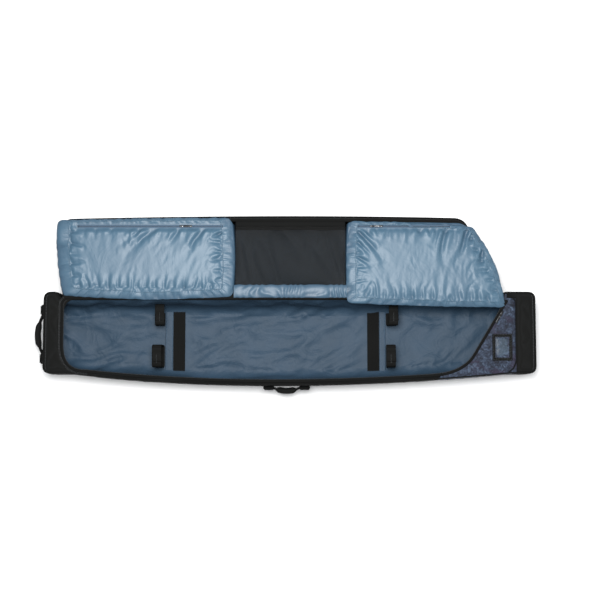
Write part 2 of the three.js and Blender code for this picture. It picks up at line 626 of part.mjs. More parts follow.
function addZips() {
  const ends = POUCH_ZIP_ENDS;
  addPouchZip("left_pouch", leftPouchX + ends, leftPouchX + LEFT_POUCH - ends, SLIDER_REST[0]);
  const rightStart = rightPouchX - RIGHT_POUCH;
  addPouchZip("right_pouch", rightStart + ends, rightPouchX - LID_DIAGONAL - ends, SLIDER_REST[1]);
  const along = vec(kneeX - openingRight, kneeY - openingFar);
  const start = vec(openingRight, openingFar).addScaledVector(along, MAIN_SLIDER.share);
  const side = vec(-along.y, along.x).normalize().multiplyScalar(MAIN_SLIDER.aside);
  addSlider("main", start.x + side.x, start.y + side.y, RIM_HEIGHT + SEAM_GAP, along.angle());
}

addBase();
addWalls();
addRim();
addLining();
addStations();
addHandles();
addHousing();
addWheel("near_wheel", -1);
addWheel("far_wheel", 1);
addTag();
addLidShell();
addPouches();
addMeshPocket();
addZips();

export default bag;
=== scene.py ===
# A ski roller bag lying open on the floor, its lid folded back. Metres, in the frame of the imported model.
import json
import math

import bmesh
import bpy
from mathutils import Matrix, Vector, kdtree, noise

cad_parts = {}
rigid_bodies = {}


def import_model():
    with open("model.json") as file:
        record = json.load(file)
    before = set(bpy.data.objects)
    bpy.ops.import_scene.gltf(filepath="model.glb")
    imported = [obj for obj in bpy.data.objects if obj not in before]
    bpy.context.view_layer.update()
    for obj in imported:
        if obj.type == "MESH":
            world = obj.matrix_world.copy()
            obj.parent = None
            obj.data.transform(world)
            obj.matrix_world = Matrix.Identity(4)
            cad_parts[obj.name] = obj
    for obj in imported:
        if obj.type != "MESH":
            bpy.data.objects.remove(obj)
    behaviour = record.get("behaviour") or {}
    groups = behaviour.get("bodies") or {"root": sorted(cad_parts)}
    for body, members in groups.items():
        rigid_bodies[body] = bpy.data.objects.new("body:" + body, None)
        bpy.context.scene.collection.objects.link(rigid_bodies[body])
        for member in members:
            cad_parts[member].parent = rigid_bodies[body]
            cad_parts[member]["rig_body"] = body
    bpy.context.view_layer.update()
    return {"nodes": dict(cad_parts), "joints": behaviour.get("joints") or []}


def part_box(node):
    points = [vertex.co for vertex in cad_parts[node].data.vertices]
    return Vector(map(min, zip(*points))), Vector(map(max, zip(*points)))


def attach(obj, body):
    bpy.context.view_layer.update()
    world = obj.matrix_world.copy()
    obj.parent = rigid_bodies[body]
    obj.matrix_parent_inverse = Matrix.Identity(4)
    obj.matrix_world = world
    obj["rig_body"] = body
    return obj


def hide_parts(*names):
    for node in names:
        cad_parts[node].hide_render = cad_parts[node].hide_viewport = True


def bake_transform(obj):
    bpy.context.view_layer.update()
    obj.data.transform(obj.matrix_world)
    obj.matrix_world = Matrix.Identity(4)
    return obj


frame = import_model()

# ---- Sizes of the fabric work -------------------------------------------------------------------

PILE = 0.0025  # thickness of the shell cloth
PIPING = 0.0028  # radius of the piping cord
STITCH_PITCH = 0.0062
STITCH_LENGTH = 0.0042
THREAD = 0.0006  # radius of the sewing thread
TOOTH_PITCH = 0.0032  # zip teeth
POUCH_CELL = 0.0056  # grid of the pouches before they are inflated
LINING_CELL = 0.011
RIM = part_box("near_gusset")[1][2]  # top of the tub's rim
LID_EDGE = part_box("lid_zip_gusset")[1][2]
HINGE_Y = next(joint for joint in frame["joints"] if joint["name"] == "lid_hinge")["pos_m"][1]
BOXES = {node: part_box(node) for node in frame["nodes"]}


def low(node):
    return BOXES[node][0].copy()


def high(node):
    return BOXES[node][1].copy()


# ---- Materials ----------------------------------------------------------------------------------

def colour(code):
    """An sRGB hex colour as linear RGBA."""
    channels = [int(code[i:i + 2], 16) / 255 for i in (1, 3, 5)]
    linear = [c / 12.92 if c <= 0.04045 else ((c + 0.055) / 1.055) ** 2.4 for c in channels]
    return (*linear, 1.0)


def add_node(tree, kind, inputs=None, **settings):
    """Adds a shader node. An input is a value, or another node's output to link."""
    node = tree.nodes.new(kind)
    for key, value in settings.items():
        setattr(node, key, value)
    for key, value in (inputs or {}).items():
        if isinstance(value, bpy.types.NodeSocket):
            tree.links.new(value, node.inputs[key])
        else:
            node.inputs[key].default_value = value
    return node


def new_material(name, **shader_values):
    """An empty material: its tree, its Principled shader, and the object coordinates."""
    material = bpy.data.materials.new(name)
    material.use_nodes = True
    tree = material.node_tree
    tree.nodes.clear()
    shader = add_node(tree, "ShaderNodeBsdfPrincipled",
                      {k.replace("_", " "): v for k, v in shader_values.items()})
    add_node(tree, "ShaderNodeOutputMaterial", {"Surface": shader.outputs["BSDF"]})
    where = add_node(tree, "ShaderNodeTexCoord").outputs["Object"]
    return material, tree, shader, where


def mixed(tree, factor, first, second):
    """A blend of two colours."""
    node = add_node(tree, "ShaderNodeMix", {0: factor, 6: first, 7: second}, data_type="RGBA")
    return node.outputs[2]


def threads(tree, where, pitch):
    """Height of crossing threads: ridges along all three axes, of which two show on any face."""
    total = None
    for axis in "XYZ":
        ridge = add_node(tree, "ShaderNodeTexWave", {"Vector": where, "Scale": math.pi / 10 / pitch},
                         bands_direction=axis).outputs["Fac"]
        total = ridge if total is None else add_node(tree, "ShaderNodeMath",
                                                     {0: total, 1: ridge}).outputs[0]
    return total


def creases(tree, where, size, stretch=(1, 1, 1)):
    """Height of soft pressed folds, sharper at the crest than in the hollow."""
    turned = add_node(tree, "ShaderNodeMapping",
                      {"Vector": where, "Scale": stretch, "Rotation": (0, 0, 0.5)})
    clouds = add_node(tree, "ShaderNodeTexNoise",
                      {"Vector": turned.outputs[0], "Scale": 1 / size, "Detail": 3.0, "Distortion": 0.9})
    centred = add_node(tree, "ShaderNodeMath", {0: clouds.outputs[0], 1: 0.5}, operation="SUBTRACT")
    folded = add_node(tree, "ShaderNodeMath", {0: centred.outputs[0]}, operation="ABSOLUTE")
    return add_node(tree, "ShaderNodeMath", {0: 1.0, 1: folded.outputs[0]}, operation="SUBTRACT").outputs[0]


def bump(tree, height, distance, strength=1.0, under=None):
    inputs = {"Height": height, "Distance": distance, "Strength": strength}
    if under is not None:
        inputs["Normal"] = under
    return add_node(tree, "ShaderNodeBump", inputs).outputs[0]


def woven_cloth(name, face, shade, pitch, crease, crease_size, wear=0.03, **shader_values):
    """Woven cloth: uneven dye, creases, and threads at the given pitch, worn paler on their crests."""
    material, tree, shader, where = new_material(name, **shader_values)
    dye = add_node(tree, "ShaderNodeTexNoise",
                   {"Vector": where, "Scale": 9.0, "Detail": 5.0, "Roughness": 0.6})
    weave = threads(tree, where, pitch)
    tone = mixed(tree, dye.outputs[0], colour(face), colour(shade))
    worn = add_node(tree, "ShaderNodeMath", {0: weave, 1: wear}, operation="MULTIPLY").outputs[0]
    tree.links.new(mixed(tree, worn, tone, colour("#c8d0d6")), shader.inputs["Base Color"])
    folds = bump(tree, creases(tree, where, crease_size), crease)
    tree.links.new(bump(tree, weave, pitch * 0.12, 0.5, folds), shader.inputs["Normal"])
    return material


def shell_polyester():
    """Black polyester of the shell: dull, plain weave, threads drawn 3 mm apart so that they show."""
    return woven_cloth("black_woven_polyester", "#0c0c0b", "#111110", 0.003, 0.006, 0.05, 0.003,
                       Roughness=0.8, Specular_IOR_Level=0.06)


def lining_nylon():
    """Coated taffeta nylon of the lining: smooth, a soft shine on its many small folds."""
    return woven_cloth("blue_taffeta_nylon", "#2a3f52", "#223443", 0.0024, 0.005, 0.07, 0.005,
                       Roughness=0.5, Specular_IOR_Level=0.22)


def pouch_nylon():
    """Light ripstop nylon of the pouches: glossy on its folds, a 6 mm grid of heavier threads, painted
    shade low on its sides.
    """
    material, tree, shader, where = new_material("pale_ripstop_nylon", Roughness=0.45)
    dye = add_node(tree, "ShaderNodeTexNoise", {"Vector": where, "Scale": 5.0, "Detail": 4.0})
    tone = mixed(tree, dye.outputs[0], colour("#405e71"), colour("#385367"))
    grid = threads(tree, where, 0.006)
    line = add_node(tree, "ShaderNodeMath", {0: grid, 1: 2.35}, operation="GREATER_THAN").outputs[0]
    faint = add_node(tree, "ShaderNodeMath", {0: line, 1: 0.16}, operation="MULTIPLY").outputs[0]
    # Painted shade: below the seam's height the colour is mixed towards a darker blue. This stands for the
    # shade on the pouch's side bands and in its low fold hollows.
    height = add_node(tree, "ShaderNodeSeparateXYZ", {"Vector": where}).outputs["Z"]
    sides = add_node(tree, "ShaderNodeMapRange",
                     {"Value": height, "From Min": 0.1530, "From Max": 0.1635, "To Min": 0.6,
                                                  "To Max": 0.0}).outputs[0]
    cloth = mixed(tree, sides, tone, colour("#2a4054"))  # painted shade: darker on the side bands and low fold hollows, which face away from the light
    tree.links.new(mixed(tree, faint, cloth, colour("#31465c")), shader.inputs["Base Color"])
    wide = bump(tree, creases(tree, where, 0.12, (1.0, 0.55, 1.0)), 0.004)
    fine = bump(tree, creases(tree, where, 0.028), 0.0009, 0.8, wide)
    tree.links.new(bump(tree, line, 0.0003, 0.6, fine), shader.inputs["Normal"])
    return material


def printed_polyester():
    """Shell polyester printed with a marbled pattern: slate blue, plum and pale flecks."""
    material, tree, shader, where = new_material("marbled_print_polyester", Roughness=0.78,
                                                 Sheen_Weight=0.02, Specular_IOR_Level=0.25)
    swirl = add_node(tree, "ShaderNodeTexNoise",
                     {"Vector": where, "Scale": 56.0, "Detail": 8.0, "Roughness": 0.8, "Distortion": 0.9})
    patch = add_node(tree, "ShaderNodeTexNoise",
                     {"Vector": where, "Scale": 15.0, "Detail": 4.0, "Distortion": 0.8})
    speck = add_node(tree, "ShaderNodeTexNoise",
                     {"Vector": where, "Scale": 210.0, "Detail": 4.0, "Roughness": 0.8})
    ramp = add_node(tree, "ShaderNodeValToRGB", {"Fac": swirl.outputs[0]})
    steps = [(0.36, "#0f1118"), (0.46, "#1d222e"), (0.54, "#2c3545"), (0.63, "#465466"), (0.74, "#7d8b9d")]
    first, last = ramp.color_ramp.elements
    first.position, first.color = steps[0][0], colour(steps[0][1])
    last.position, last.color = steps[-1][0], colour(steps[-1][1])
    for place, code in steps[1:-1]:
        ramp.color_ramp.elements.new(place).color = colour(code)
    plum_share = add_node(tree, "ShaderNodeMapRange",
                          {"Value": patch.outputs[0], "From Min": 0.52, "From Max": 0.66,
                                                       "To Max": 0.6}).outputs[0]
    plum = mixed(tree, plum_share, ramp.outputs[0], colour("#2a2133"))
    fleck_share = add_node(tree, "ShaderNodeMapRange",
                           {"Value": speck.outputs[0], "From Min": 0.6, "From Max": 0.74,
                                                        "To Max": 0.6}).outputs[0]
    tree.links.new(mixed(tree, fleck_share, plum, colour("#7888a0")), shader.inputs["Base Color"])
    folds = bump(tree, creases(tree, where, 0.06), 0.004)
    tree.links.new(bump(tree, threads(tree, where, 0.003), 0.0004, 0.5, folds), shader.inputs["Normal"])
    return material


def webbing_weave():
    """Polyester webbing: matt black with ribs across, 2 mm apart."""
    return woven_cloth("ribbed_webbing", "#0a0a09", "#10100f", 0.002, 0.001, 0.02, 0.003, Roughness=0.85,
                       Specular_IOR_Level=0.06)


def zip_weave():
    """Woven zip tape dyed to the pouch's blue, a shade darker."""
    return woven_cloth("zip_tape_weave", "#425a70", "#384e63", 0.0016, 0.0006, 0.02, 0.01, Roughness=0.7)


def knitted_mesh():
    """Knitted pocket mesh: black yarn round open cells, drawn 3.4 mm apart so that they show."""
    material, tree, shader, where = new_material("knitted_mesh", Base_Color=colour("#0c1013"),
                                                 Roughness=0.7, Sheen_Weight=0.04, Specular_IOR_Level=0.25)
    flat = add_node(tree, "ShaderNodeMapping",
                    {"Vector": where, "Rotation": (0, 0, math.pi / 4)}).outputs[0]
    shares = [add_node(tree, "ShaderNodeTexWave", {"Vector": flat, "Scale": math.pi / 10 / 0.0034},
                       bands_direction=axis).outputs["Fac"] for axis in "XY"]
    both = add_node(tree, "ShaderNodeMath", {0: shares[0], 1: shares[1]}, operation="MULTIPLY").outputs[0]
    solid = add_node(tree, "ShaderNodeMath", {0: both, 1: 0.42}, operation="LESS_THAN").outputs[0]
    tree.links.new(solid, shader.inputs["Alpha"])
    tree.links.new(bump(tree, both, 0.0005), shader.inputs["Normal"])
    return material


def moulded_plastic():
    """Injection-moulded polypropylene: black with a fine spark-eroded grain and a soft highlight."""
    material, tree, shader, where = new_material("moulded_polypropylene", Roughness=0.5, IOR=1.49)
    grain = add_node(tree, "ShaderNodeTexNoise", {"Vector": where, "Scale": 900.0, "Detail": 2.0})
    scuff = add_node(tree, "ShaderNodeTexNoise",
                     {"Vector": where, "Scale": 40.0, "Detail": 6.0, "Roughness": 0.7})
    tree.links.new(mixed(tree, scuff.outputs[0], colour("#121314"), colour("#1d1f20")),
                   shader.inputs["Base Color"])
    tree.links.new(bump(tree, grain.outputs[0], 0.0004), shader.inputs["Normal"])
    return material


def wheel_rubber():
    """Cast polyurethane tyre: near black, satin, dusty on the tread."""
    material, tree, shader, where = new_material("cast_polyurethane", Roughness=0.6)
    dust = add_node(tree, "ShaderNodeTexNoise", {"Vector": where, "Scale": 60.0, "Detail": 5.0})
    tree.links.new(mixed(tree, dust.outputs[0], colour("#131313"), colour("#262524")),
                   shader.inputs["Base Color"])
    tree.links.new(bump(tree, dust.outputs[0], 0.0006), shader.inputs["Normal"])
    return material


def zinc_steel():
    """Zinc-plated steel of the axles: pale, with turning marks."""
    material, tree, shader, where = new_material("zinc_plated_steel", Metallic=1.0, Roughness=0.32)
    marks = add_node(tree, "ShaderNodeTexNoise", {"Vector": where, "Scale": 300.0, "Detail": 3.0})
    tree.links.new(mixed(tree, marks.outputs[0], colour("#b4b7b8"), colour("#8e9294")),
                   shader.inputs["Base Color"])
    return material


def slider_enamel():
    """Black enamel over die-cast zinc: glossy, with bare edges worn brighter."""
    material, tree, shader, where = new_material("black_enamel_zinc", Metallic=0.6, Roughness=0.3)
    wear = add_node(tree, "ShaderNodeTexNoise", {"Vector": where, "Scale": 220.0, "Detail": 4.0})
    edge = add_node(tree, "ShaderNodeMapRange",
                    {"Value": wear.outputs[0], "From Min": 0.58, "From Max": 0.7})
    tree.links.new(mixed(tree, edge.outputs[0], colour("#17181a"), colour("#73777a")),
                   shader.inputs["Base Color"])
    return material


def clear_vinyl():
    """Clear PVC sheet of the tag window: glossy, faintly wavy, grey over the dark cloth behind it."""
    material, tree, shader, where = new_material("clear_vinyl", Roughness=0.2, IOR=1.5, Alpha=0.16,
                                                 Base_Color=colour("#5c6d7c"))
    wave = add_node(tree, "ShaderNodeTexNoise", {"Vector": where, "Scale": 45.0, "Detail": 2.0})
    tree.links.new(bump(tree, wave.outputs[0], 0.0012), shader.inputs["Normal"])
    return material


def nylon_thread(name, code):
    """Bonded nylon sewing thread: slightly shiny, twisted."""
    material, tree, shader, where = new_material(name, Roughness=0.5, Base_Color=colour(code))
    twist = add_node(tree, "ShaderNodeTexWave", {"Vector": where, "Scale": math.pi / 10 / 0.0012})
    tree.links.new(bump(tree, twist.outputs["Fac"], 0.0002), shader.inputs["Normal"])
    return material


def studio_paper():
    """Matt white paper that the bag lies on."""
    material, tree, shader, where = new_material("studio_paper", Roughness=0.95,
                                                 Base_Color=colour("#f7f7f7"))
    fibre = add_node(tree, "ShaderNodeTexNoise", {"Vector": where, "Scale": 400.0})
    tree.links.new(bump(tree, fibre.outputs[0], 0.0002, 0.2), shader.inputs["Normal"])
    return material


LOOKS = {
    "shell_fabric": shell_polyester(), "print_fabric": printed_polyester(), "lining_fabric": lining_nylon(),
    "pouch_fabric": pouch_nylon(), "webbing": webbing_weave(), "pocket_mesh": knitted_mesh(),
    "zip_tape": zip_weave(), "moulded_plastic": moulded_plastic(), "wheel_rubber": wheel_rubber(),
    "steel": zinc_steel(), "slider_metal": slider_enamel(), "clear_window": clear_vinyl(),
}
GREY_THREAD = nylon_thread("grey_thread", "#4a4d50")
BLUE_THREAD = nylon_thread("blue_thread", "#56708a")
BLACK_THREAD = nylon_thread("black_thread", "#1e1e1e")

# ---- Making pieces ------------------------------------------------------------------------------


def finish_piece(name, mesh_source, body, slot, replaces=(), material=None, smooth=True):
    """Turns a bmesh, or a mesh, into a piece that rides on a body and takes a slot's finish."""
    if isinstance(mesh_source, bmesh.types.BMesh):
        mesh = bpy.data.meshes.new(name)
        mesh_source.to_mesh(mesh)
        mesh_source.free()
    else:
        mesh = mesh_source
    piece = bpy.data.objects.new(name, mesh)
    bpy.context.scene.collection.objects.link(piece)
    for polygon in mesh.polygons:
        polygon.use_smooth = smooth
    mesh.materials.clear()
    mesh.materials.append(material or LOOKS[slot])
    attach(piece, body)
    if replaces:
        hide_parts(*replaces)
    return piece


def chain(bm, points, closed):
    """A row of edges through the points."""
    corners = [bm.verts.new(point) for point in points]
    count = len(corners) if closed else len(corners) - 1
    return [bm.edges.new((corners[i], corners[(i + 1) % len(corners)])) for i in range(count)]


def loft(rows, closed=True):
    """A surface through rows of points, each row with the same number of points."""
    bm = bmesh.new()
    chains = [chain(bm, row, closed) for row in rows]
    for first, second in zip(chains, chains[1:]):
        bmesh.ops.bridge_loops(bm, edges=first + second)
    bmesh.ops.recalc_face_normals(bm, faces=bm.faces)
    return bm, chains


def cap(bm, edges):
    """One face over a closed row of edges."""
    return bmesh.ops.contextual_create(bm, geom=edges)["faces"]


def cut_grid(bm, faces, step):
    """Cuts flat faces into a square grid."""
    for axis in (0, 1):
        across = Vector((1, 0, 0) if axis == 0 else (0, 1, 0))
        places = [vert.co[axis] for face in faces for vert in face.verts]
        lines = int((max(places) - min(places)) / step)
        for line in range(1, lines + 1):
            point = across * (min(places) + line * (max(places) - min(places)) / (lines + 1))
            edges = {edge for face in faces for edge in face.edges}
            verts = {vert for face in faces for vert in face.verts}
            cut = bmesh.ops.bisect_plane(bm, geom=[*verts, *edges, *faces], plane_co=point, plane_no=across,
                                         dist=1e-6)
            faces = [part for part in cut["geom"] if isinstance(part, bmesh.types.BMFace)]
    return faces


def tube(name, points, radius, body, slot, closed=False):
    """A round cord through the points."""
    curve = bpy.data.curves.new(name, "CURVE")
    curve.dimensions = "3D"
    curve.bevel_depth = radius
    curve.bevel_resolution = 2
    curve.use_fill_caps = True
    spline = curve.splines.new("POLY")
    spline.points.add(len(points) - 1)
    for place, point in zip(spline.points, points):
        place.co = (*point, 1)
    spline.use_cyclic_u = closed
    holder = bpy.data.objects.new(name + "_path", curve)
    mesh = bpy.data.meshes.new_from_object(holder)
    mesh.name = name
    bpy.data.objects.remove(holder)
    return finish_piece(name, mesh, body, slot)


def resample(points, step, closed=False):
    """The same line with points at an even step."""
    line = [Vector(p) for p in points] + ([Vector(points[0])] if closed else [])
    lengths = [(b - a).length for a, b in zip(line, line[1:])]
    count = max(2, round(sum(lengths) / step))
    result, i, passed = [], 0, 0.0
    for k in range(count if closed else count + 1):
        target = sum(lengths) * k / count
        while i < len(lengths) - 1 and passed + lengths[i] < target:
            passed += lengths[i]
            i += 1
        share = (target - passed) / lengths[i] if lengths[i] else 0
        result.append(line[i].lerp(line[i + 1], min(share, 1)))
    return result


def beside(points, distance, closed=False):
    """The line moved sideways in the floor's plane, to the left of its direction."""
    count = len(points)
    moved = []
    for i, point in enumerate(points):
        before = points[i - 1] if closed or i else points[0]
        after = points[(i + 1) % count] if closed or i < count - 1 else points[-1]
        way = (after - before).normalized()
        side = Vector((-way.y, way.x, 0))
        moved.append(point + side * distance)
    return moved


def rounded(corners, radius, detail=8):
    """A closed outline with rounded corners, as flat points."""
    outline = []
    for i, corner in enumerate(corners):
        before, after = Vector(corners[i - 1]), Vector(corners[(i + 1) % len(corners)])
        corner = Vector(corner)
        start = corner + (before - corner).normalized() * radius
        end = corner + (after - corner).normalized() * radius
        for k in range(detail + 1):
            t = k / detail
            outline.append(start * (1 - t) ** 2 + corner * 2 * t * (1 - t) + end * t * t)
    return outline


def repeated(shape, places):
    """Copies of a small shape, one at each place."""
    template = bpy.data.meshes.new("template")
    shape.to_mesh(template)
    shape.free()
    bm = bmesh.new()
    for place in places:
        template.transform(place)
        bm.from_mesh(template)
        template.transform(place.inverted())
    bpy.data.meshes.remove(template)
    return bm


def bead(segments, rings, size):
    """A small rounded shape: one stitch, or one tooth."""
    bm = bmesh.new()
    bmesh.ops.create_uvsphere(bm, u_segments=segments, v_segments=rings, radius=1,
                              matrix=Matrix.Diagonal((*size, 1)))
    return bm


def along(points, pitch, axis="Z"):
    """Places at an even pitch along a line, turned to follow it."""
    places = resample(points, pitch)
    up = "Y" if axis == "Z" else "Z"
    return [Matrix.Translation((a + b) / 2) @ (b - a).to_track_quat(axis, up).to_matrix().to_4x4()
            for a, b in zip(places, places[1:])]


def stitches(name, points, body, slot="webbing", material=GREY_THREAD):
    """A row of short raised threads along a line."""
    bm = repeated(bead(6, 4, (THREAD, THREAD, STITCH_LENGTH / 2)), along(points, STITCH_PITCH))
    return finish_piece(name, bm, body, slot, material=material)


def zip_teeth(name, points, body, slot, width, material=None):
    """One coil of a zip: small rounded teeth side by side along a line."""
    bm = repeated(bead(8, 4, (TOOTH_PITCH * 0.34, width / 2, 0.0011)), along(points, TOOTH_PITCH, "X"))
    return finish_piece(name, bm, body, slot, material=material)


def raised(points, height):
    """The points of a line, moved up."""
    return [point + Vector((0, 0, height)) for point in points]


def face_up(bm):
    """Turns a sheet over if it faces down."""
    if sum(face.normal.z for face in bm.faces) < 0:
        bmesh.ops.reverse_faces(bm, faces=bm.faces)


def round_edges(bm, edges, width, segments):
    bmesh.ops.bevel(bm, geom=edges, offset=width, segments=segments, profile=0.5, affect="EDGES",
                    material=-1)


def edges_of(verts):
    return list({edge for vert in verts for edge in vert.link_edges})


def soften(piece):
    """Rounds the sharp edges of a hard piece a little."""
    bevel = piece.modifiers.new("soft_edges", "BEVEL")
    bevel.width, bevel.segments = 0.0006, 2
    bevel.limit_method, bevel.angle_limit = "ANGLE", math.radians(40)
    return piece


def free_of_body(piece):
    """Takes a piece off its body."""
    piece.parent = None
    del piece["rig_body"]
    return piece


def ease(share):
    """A smooth step from 0 to 1."""
    share = min(max(share, 0.0), 1.0)
    return share * share * (3 - 2 * share)


def ridge(x, y, z=0.0):
    """Fold height from 0 to 1, sharp along its crests."""
    warp = noise.noise(Vector((x * 0.7 + 3, y * 0.7, z))) * 0.8
    return (1 - abs(noise.noise(Vector((x + warp, y - warp, z))))) ** 3


# ---- Plan of the tub ----------------------------------------------------------------------------

END_LEFT, END_RIGHT = low("left_end_wall").x, high("right_end_wall").x
HALF_WIDTH = high("left_end_wall").y
FAR = high("far_wall").y
BULGE_REACH = -low("near_wall").x
BULGE = low("near_wall").y + HALF_WIDTH
END_CORNER = 0.028
JOGS = (low("lid_panel").x - 0.018, high("lid_panel").x + 0.008)
JOG_SLOPE = 0.006


def curve(start, control, end, count=60):
    start, control, end = Vector(start), Vector(control), Vector(end)
    return [start * (1 - t) ** 2 + control * 2 * t * (1 - t) + end * t * t
            for t in (k / count for k in range(count + 1))]


def tub_outline():
    """The outer edge of the tub, anticlockwise from the near left corner."""
    c, h, f = END_CORNER, HALF_WIDTH, FAR
    (left_jog, right_jog), s = JOGS, JOG_SLOPE
    line = curve((END_LEFT, -h + c, 0), (END_LEFT, -h, 0), (END_LEFT + c, -h, 0), 8)
    line += curve((-BULGE_REACH, -h, 0), (-0.13 * BULGE_REACH, -h + 2 * BULGE, 0), (BULGE_REACH, -h, 0))
    line += curve((END_RIGHT - c, -h, 0), (END_RIGHT, -h, 0), (END_RIGHT, -h + c, 0), 8)
    line += curve((END_RIGHT, h - c, 0), (END_RIGHT, h, 0), (END_RIGHT - c, h, 0), 8)
    line += [Vector(p) for p in ((right_jog + s, h, 0), (right_jog - s, f, 0), (left_jog + s, f, 0),
                                 (left_jog - s, h, 0))]
    line += curve((END_LEFT + c, h, 0), (END_LEFT, h, 0), (END_LEFT, h - c, 0), 8)
    return line


OUTLINE = resample(tub_outline(), 0.011, closed=True)


def stretch_of(test):
    """The longest run of outline points that pass the test, in order."""
    count = len(OUTLINE)
    start = next(i for i in range(count) if test(OUTLINE[i]) and not test(OUTLINE[i - 1]))
    run = []
    for k in range(count):
        point = OUTLINE[(start + k) % count]
        if not test(point):
            break
        run.append(point)
    return run


# ---- Walls of the tub and the lid ---------------------------------------------------------------

WALL_PROFILE = [  # (outwards, share of the height) from the tucked-under bottom to the rolled top edge
    (-0.016, 0.0), (-0.007, 0.004), (-0.0015, 0.03), (0.001, 0.10), (0.0022, 0.25), (0.003, 0.45),
                (0.0028, 0.62),
    (0.002, 0.80), (0.0005, 0.93), (-0.001, 0.985), (-0.0055, 1.0), (-0.0075, 0.985), (-0.0075, 0.9),
]


def cloth_wall(name, line, z_low, z_high, body, slot, replaces, slack, seed):
    """A soft wall along a line: slightly full, with hanging folds, tucked under at the bottom."""
    rows = []
    for outward, share in WALL_PROFILE:
        z = z_low + (z_high - z_low) * share
        row = []
        for point, edge in zip(line, beside(line, -1.0)):
            way = edge - point
            fold = ridge(point.x * 16 + point.y * 21 + seed, z * 7 + seed) - 0.45
            wave = noise.noise(Vector((point.x * 5 + seed, point.y * 6, z * 10)))
            slackness = slack * math.sin(math.pi * min(share, 1.0)) * (1.1 * fold + 0.9 * wave)
            row.append(point + way * (outward + slackness) + Vector((0, 0, z)))
        rows.append(row)
    bm = loft(rows, closed=False)[0]
    return finish_piece(name, bm, body, slot, replaces)


def solidify(piece, thickness):
    """Gives cloth its thickness, inwards."""
    modifier = piece.modifiers.new("cloth_thickness", "SOLIDIFY")
    modifier.thickness = thickness
    modifier.offset = -1.0
    return piece


WALL_SLACK = {"far_wall": 0.0012, "right_end_wall": 0.0018}  # the other walls hang looser


def tub_walls():
    bottom, top = low("base_panel").z, RIM + 0.0005
    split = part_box("near_wall_print")
    left_end = high("left_end_wall").x
    right_end_far = low("right_end_wall").x
    parts = {
        "left_end_cloth": (lambda p: p.x <= left_end, "shell_fabric", "left_end_wall", 1.0),
        "near_side_cloth": (lambda p: p.y < 0 and left_end - 0.012 <= p.x <= split[0][0] + 0.004,
                            "shell_fabric", "near_wall", 2.0),
        "near_side_print_cloth": (lambda p: p.y < 0 and split[0][0] - 0.01 <= p.x <= split[1][0] + 0.004,
                                  "print_fabric", "near_wall_print", 3.0),
        "right_end_cloth": (lambda p: p.x >= split[1][0] - 0.008 or (p.y > 0 and p.x >= right_end_far),
                            "shell_fabric", "right_end_wall", 4.0),
        "far_side_cloth": (lambda p: p.y > 0 and left_end - 0.012 <= p.x <= right_end_far + 0.006,
                           "shell_fabric", "far_wall", 5.0),
    }
    for name, (test, slot, node, seed) in parts.items():
        line = stretch_of(test)
        slack = WALL_SLACK.get(node, 0.0026)
        wall = cloth_wall(name, line, bottom, top, "tub", slot, [node], slack, seed)
        if node == "right_end_wall":
            cut_wheel_arch(wall)
        solidify(wall, PILE)


def cut_wheel_arch(wall):
    """Opens the end wall below the moulded housing, which fills that part of the end."""
    housing_low, housing_high = low("wheel_housing"), high("wheel_housing")
    bm = bmesh.new()
    bm.from_mesh(wall.data)
    whole = [*bm.verts, *bm.edges, *bm.faces]
    bmesh.ops.bisect_plane(bm, geom=whole, plane_co=(0, 0, housing_high.z + 0.001), plane_no=(0, 0, 1),
                           dist=1e-6)
    for y in (housing_low.y - 0.001, housing_high.y + 0.001):
        whole = [*bm.verts, *bm.edges, *bm.faces]
        bmesh.ops.bisect_plane(bm, geom=whole, plane_co=(0, y, 0), plane_no=(0, 1, 0), dist=1e-6)
    gone = [face for face in bm.faces
            if face.calc_center_median().z < housing_high.z + 0.001
            and abs(face.calc_center_median().y) < housing_high.y + 0.001
            and face.calc_center_median().x > housing_low.x]
    bmesh.ops.delete(bm, geom=gone, context="FACES")
    bm.to_mesh(wall.data)
    bm.free()


def piping():
    """Piping cords round the tub's rim and base."""
    rim = raised(beside(OUTLINE, 0.0012, closed=True), RIM + 0.0002)
    base = raised(beside(OUTLINE, -0.0005, closed=True), low("base_panel").z + 0.006)
    tube("rim_piping", rim, PIPING, "tub", "webbing", closed=True)
    tube("base_piping", base, PIPING, "tub", "webbing", closed=True)


# ---- Flat cloth of the rim ----------------------------------------------------------------------

def flat_top(node, step):
    """The top face of a CAD sheet, cut into a grid."""
    bm = bmesh.new()
    bm.from_mesh(frame["nodes"][node].data)
    bmesh.ops.remove_doubles(bm, verts=bm.verts, dist=1e-5)
    top = high(node).z
    under = [face for face in bm.faces if face.calc_center_median().z < top - 1e-5]
    bmesh.ops.delete(bm, geom=under, context="FACES")
    bmesh.ops.dissolve_faces(bm, faces=bm.faces)
    cut_grid(bm, list(bm.faces), step)
    bmesh.ops.recalc_face_normals(bm, faces=bm.faces)
    face_up(bm)
    return bm


def swell(bm, crown, reach, wrinkle, size, seed):
    """Raises the middle of a flat cloth over its sewn edges and gives it low folds."""
    edges = [vert for vert in bm.verts if vert.is_boundary]
    tree = kdtree.KDTree(len(edges))
    for i, vert in enumerate(edges):
        tree.insert(vert.co, i)
    tree.balance()
    for vert in bm.verts:
        inner = ease(tree.find(vert.co)[2] / reach)
        fold = ridge(vert.co.x / size + seed, vert.co.y / size * 0.8) - 0.4
        vert.co.z += inner * (crown + wrinkle * fold)


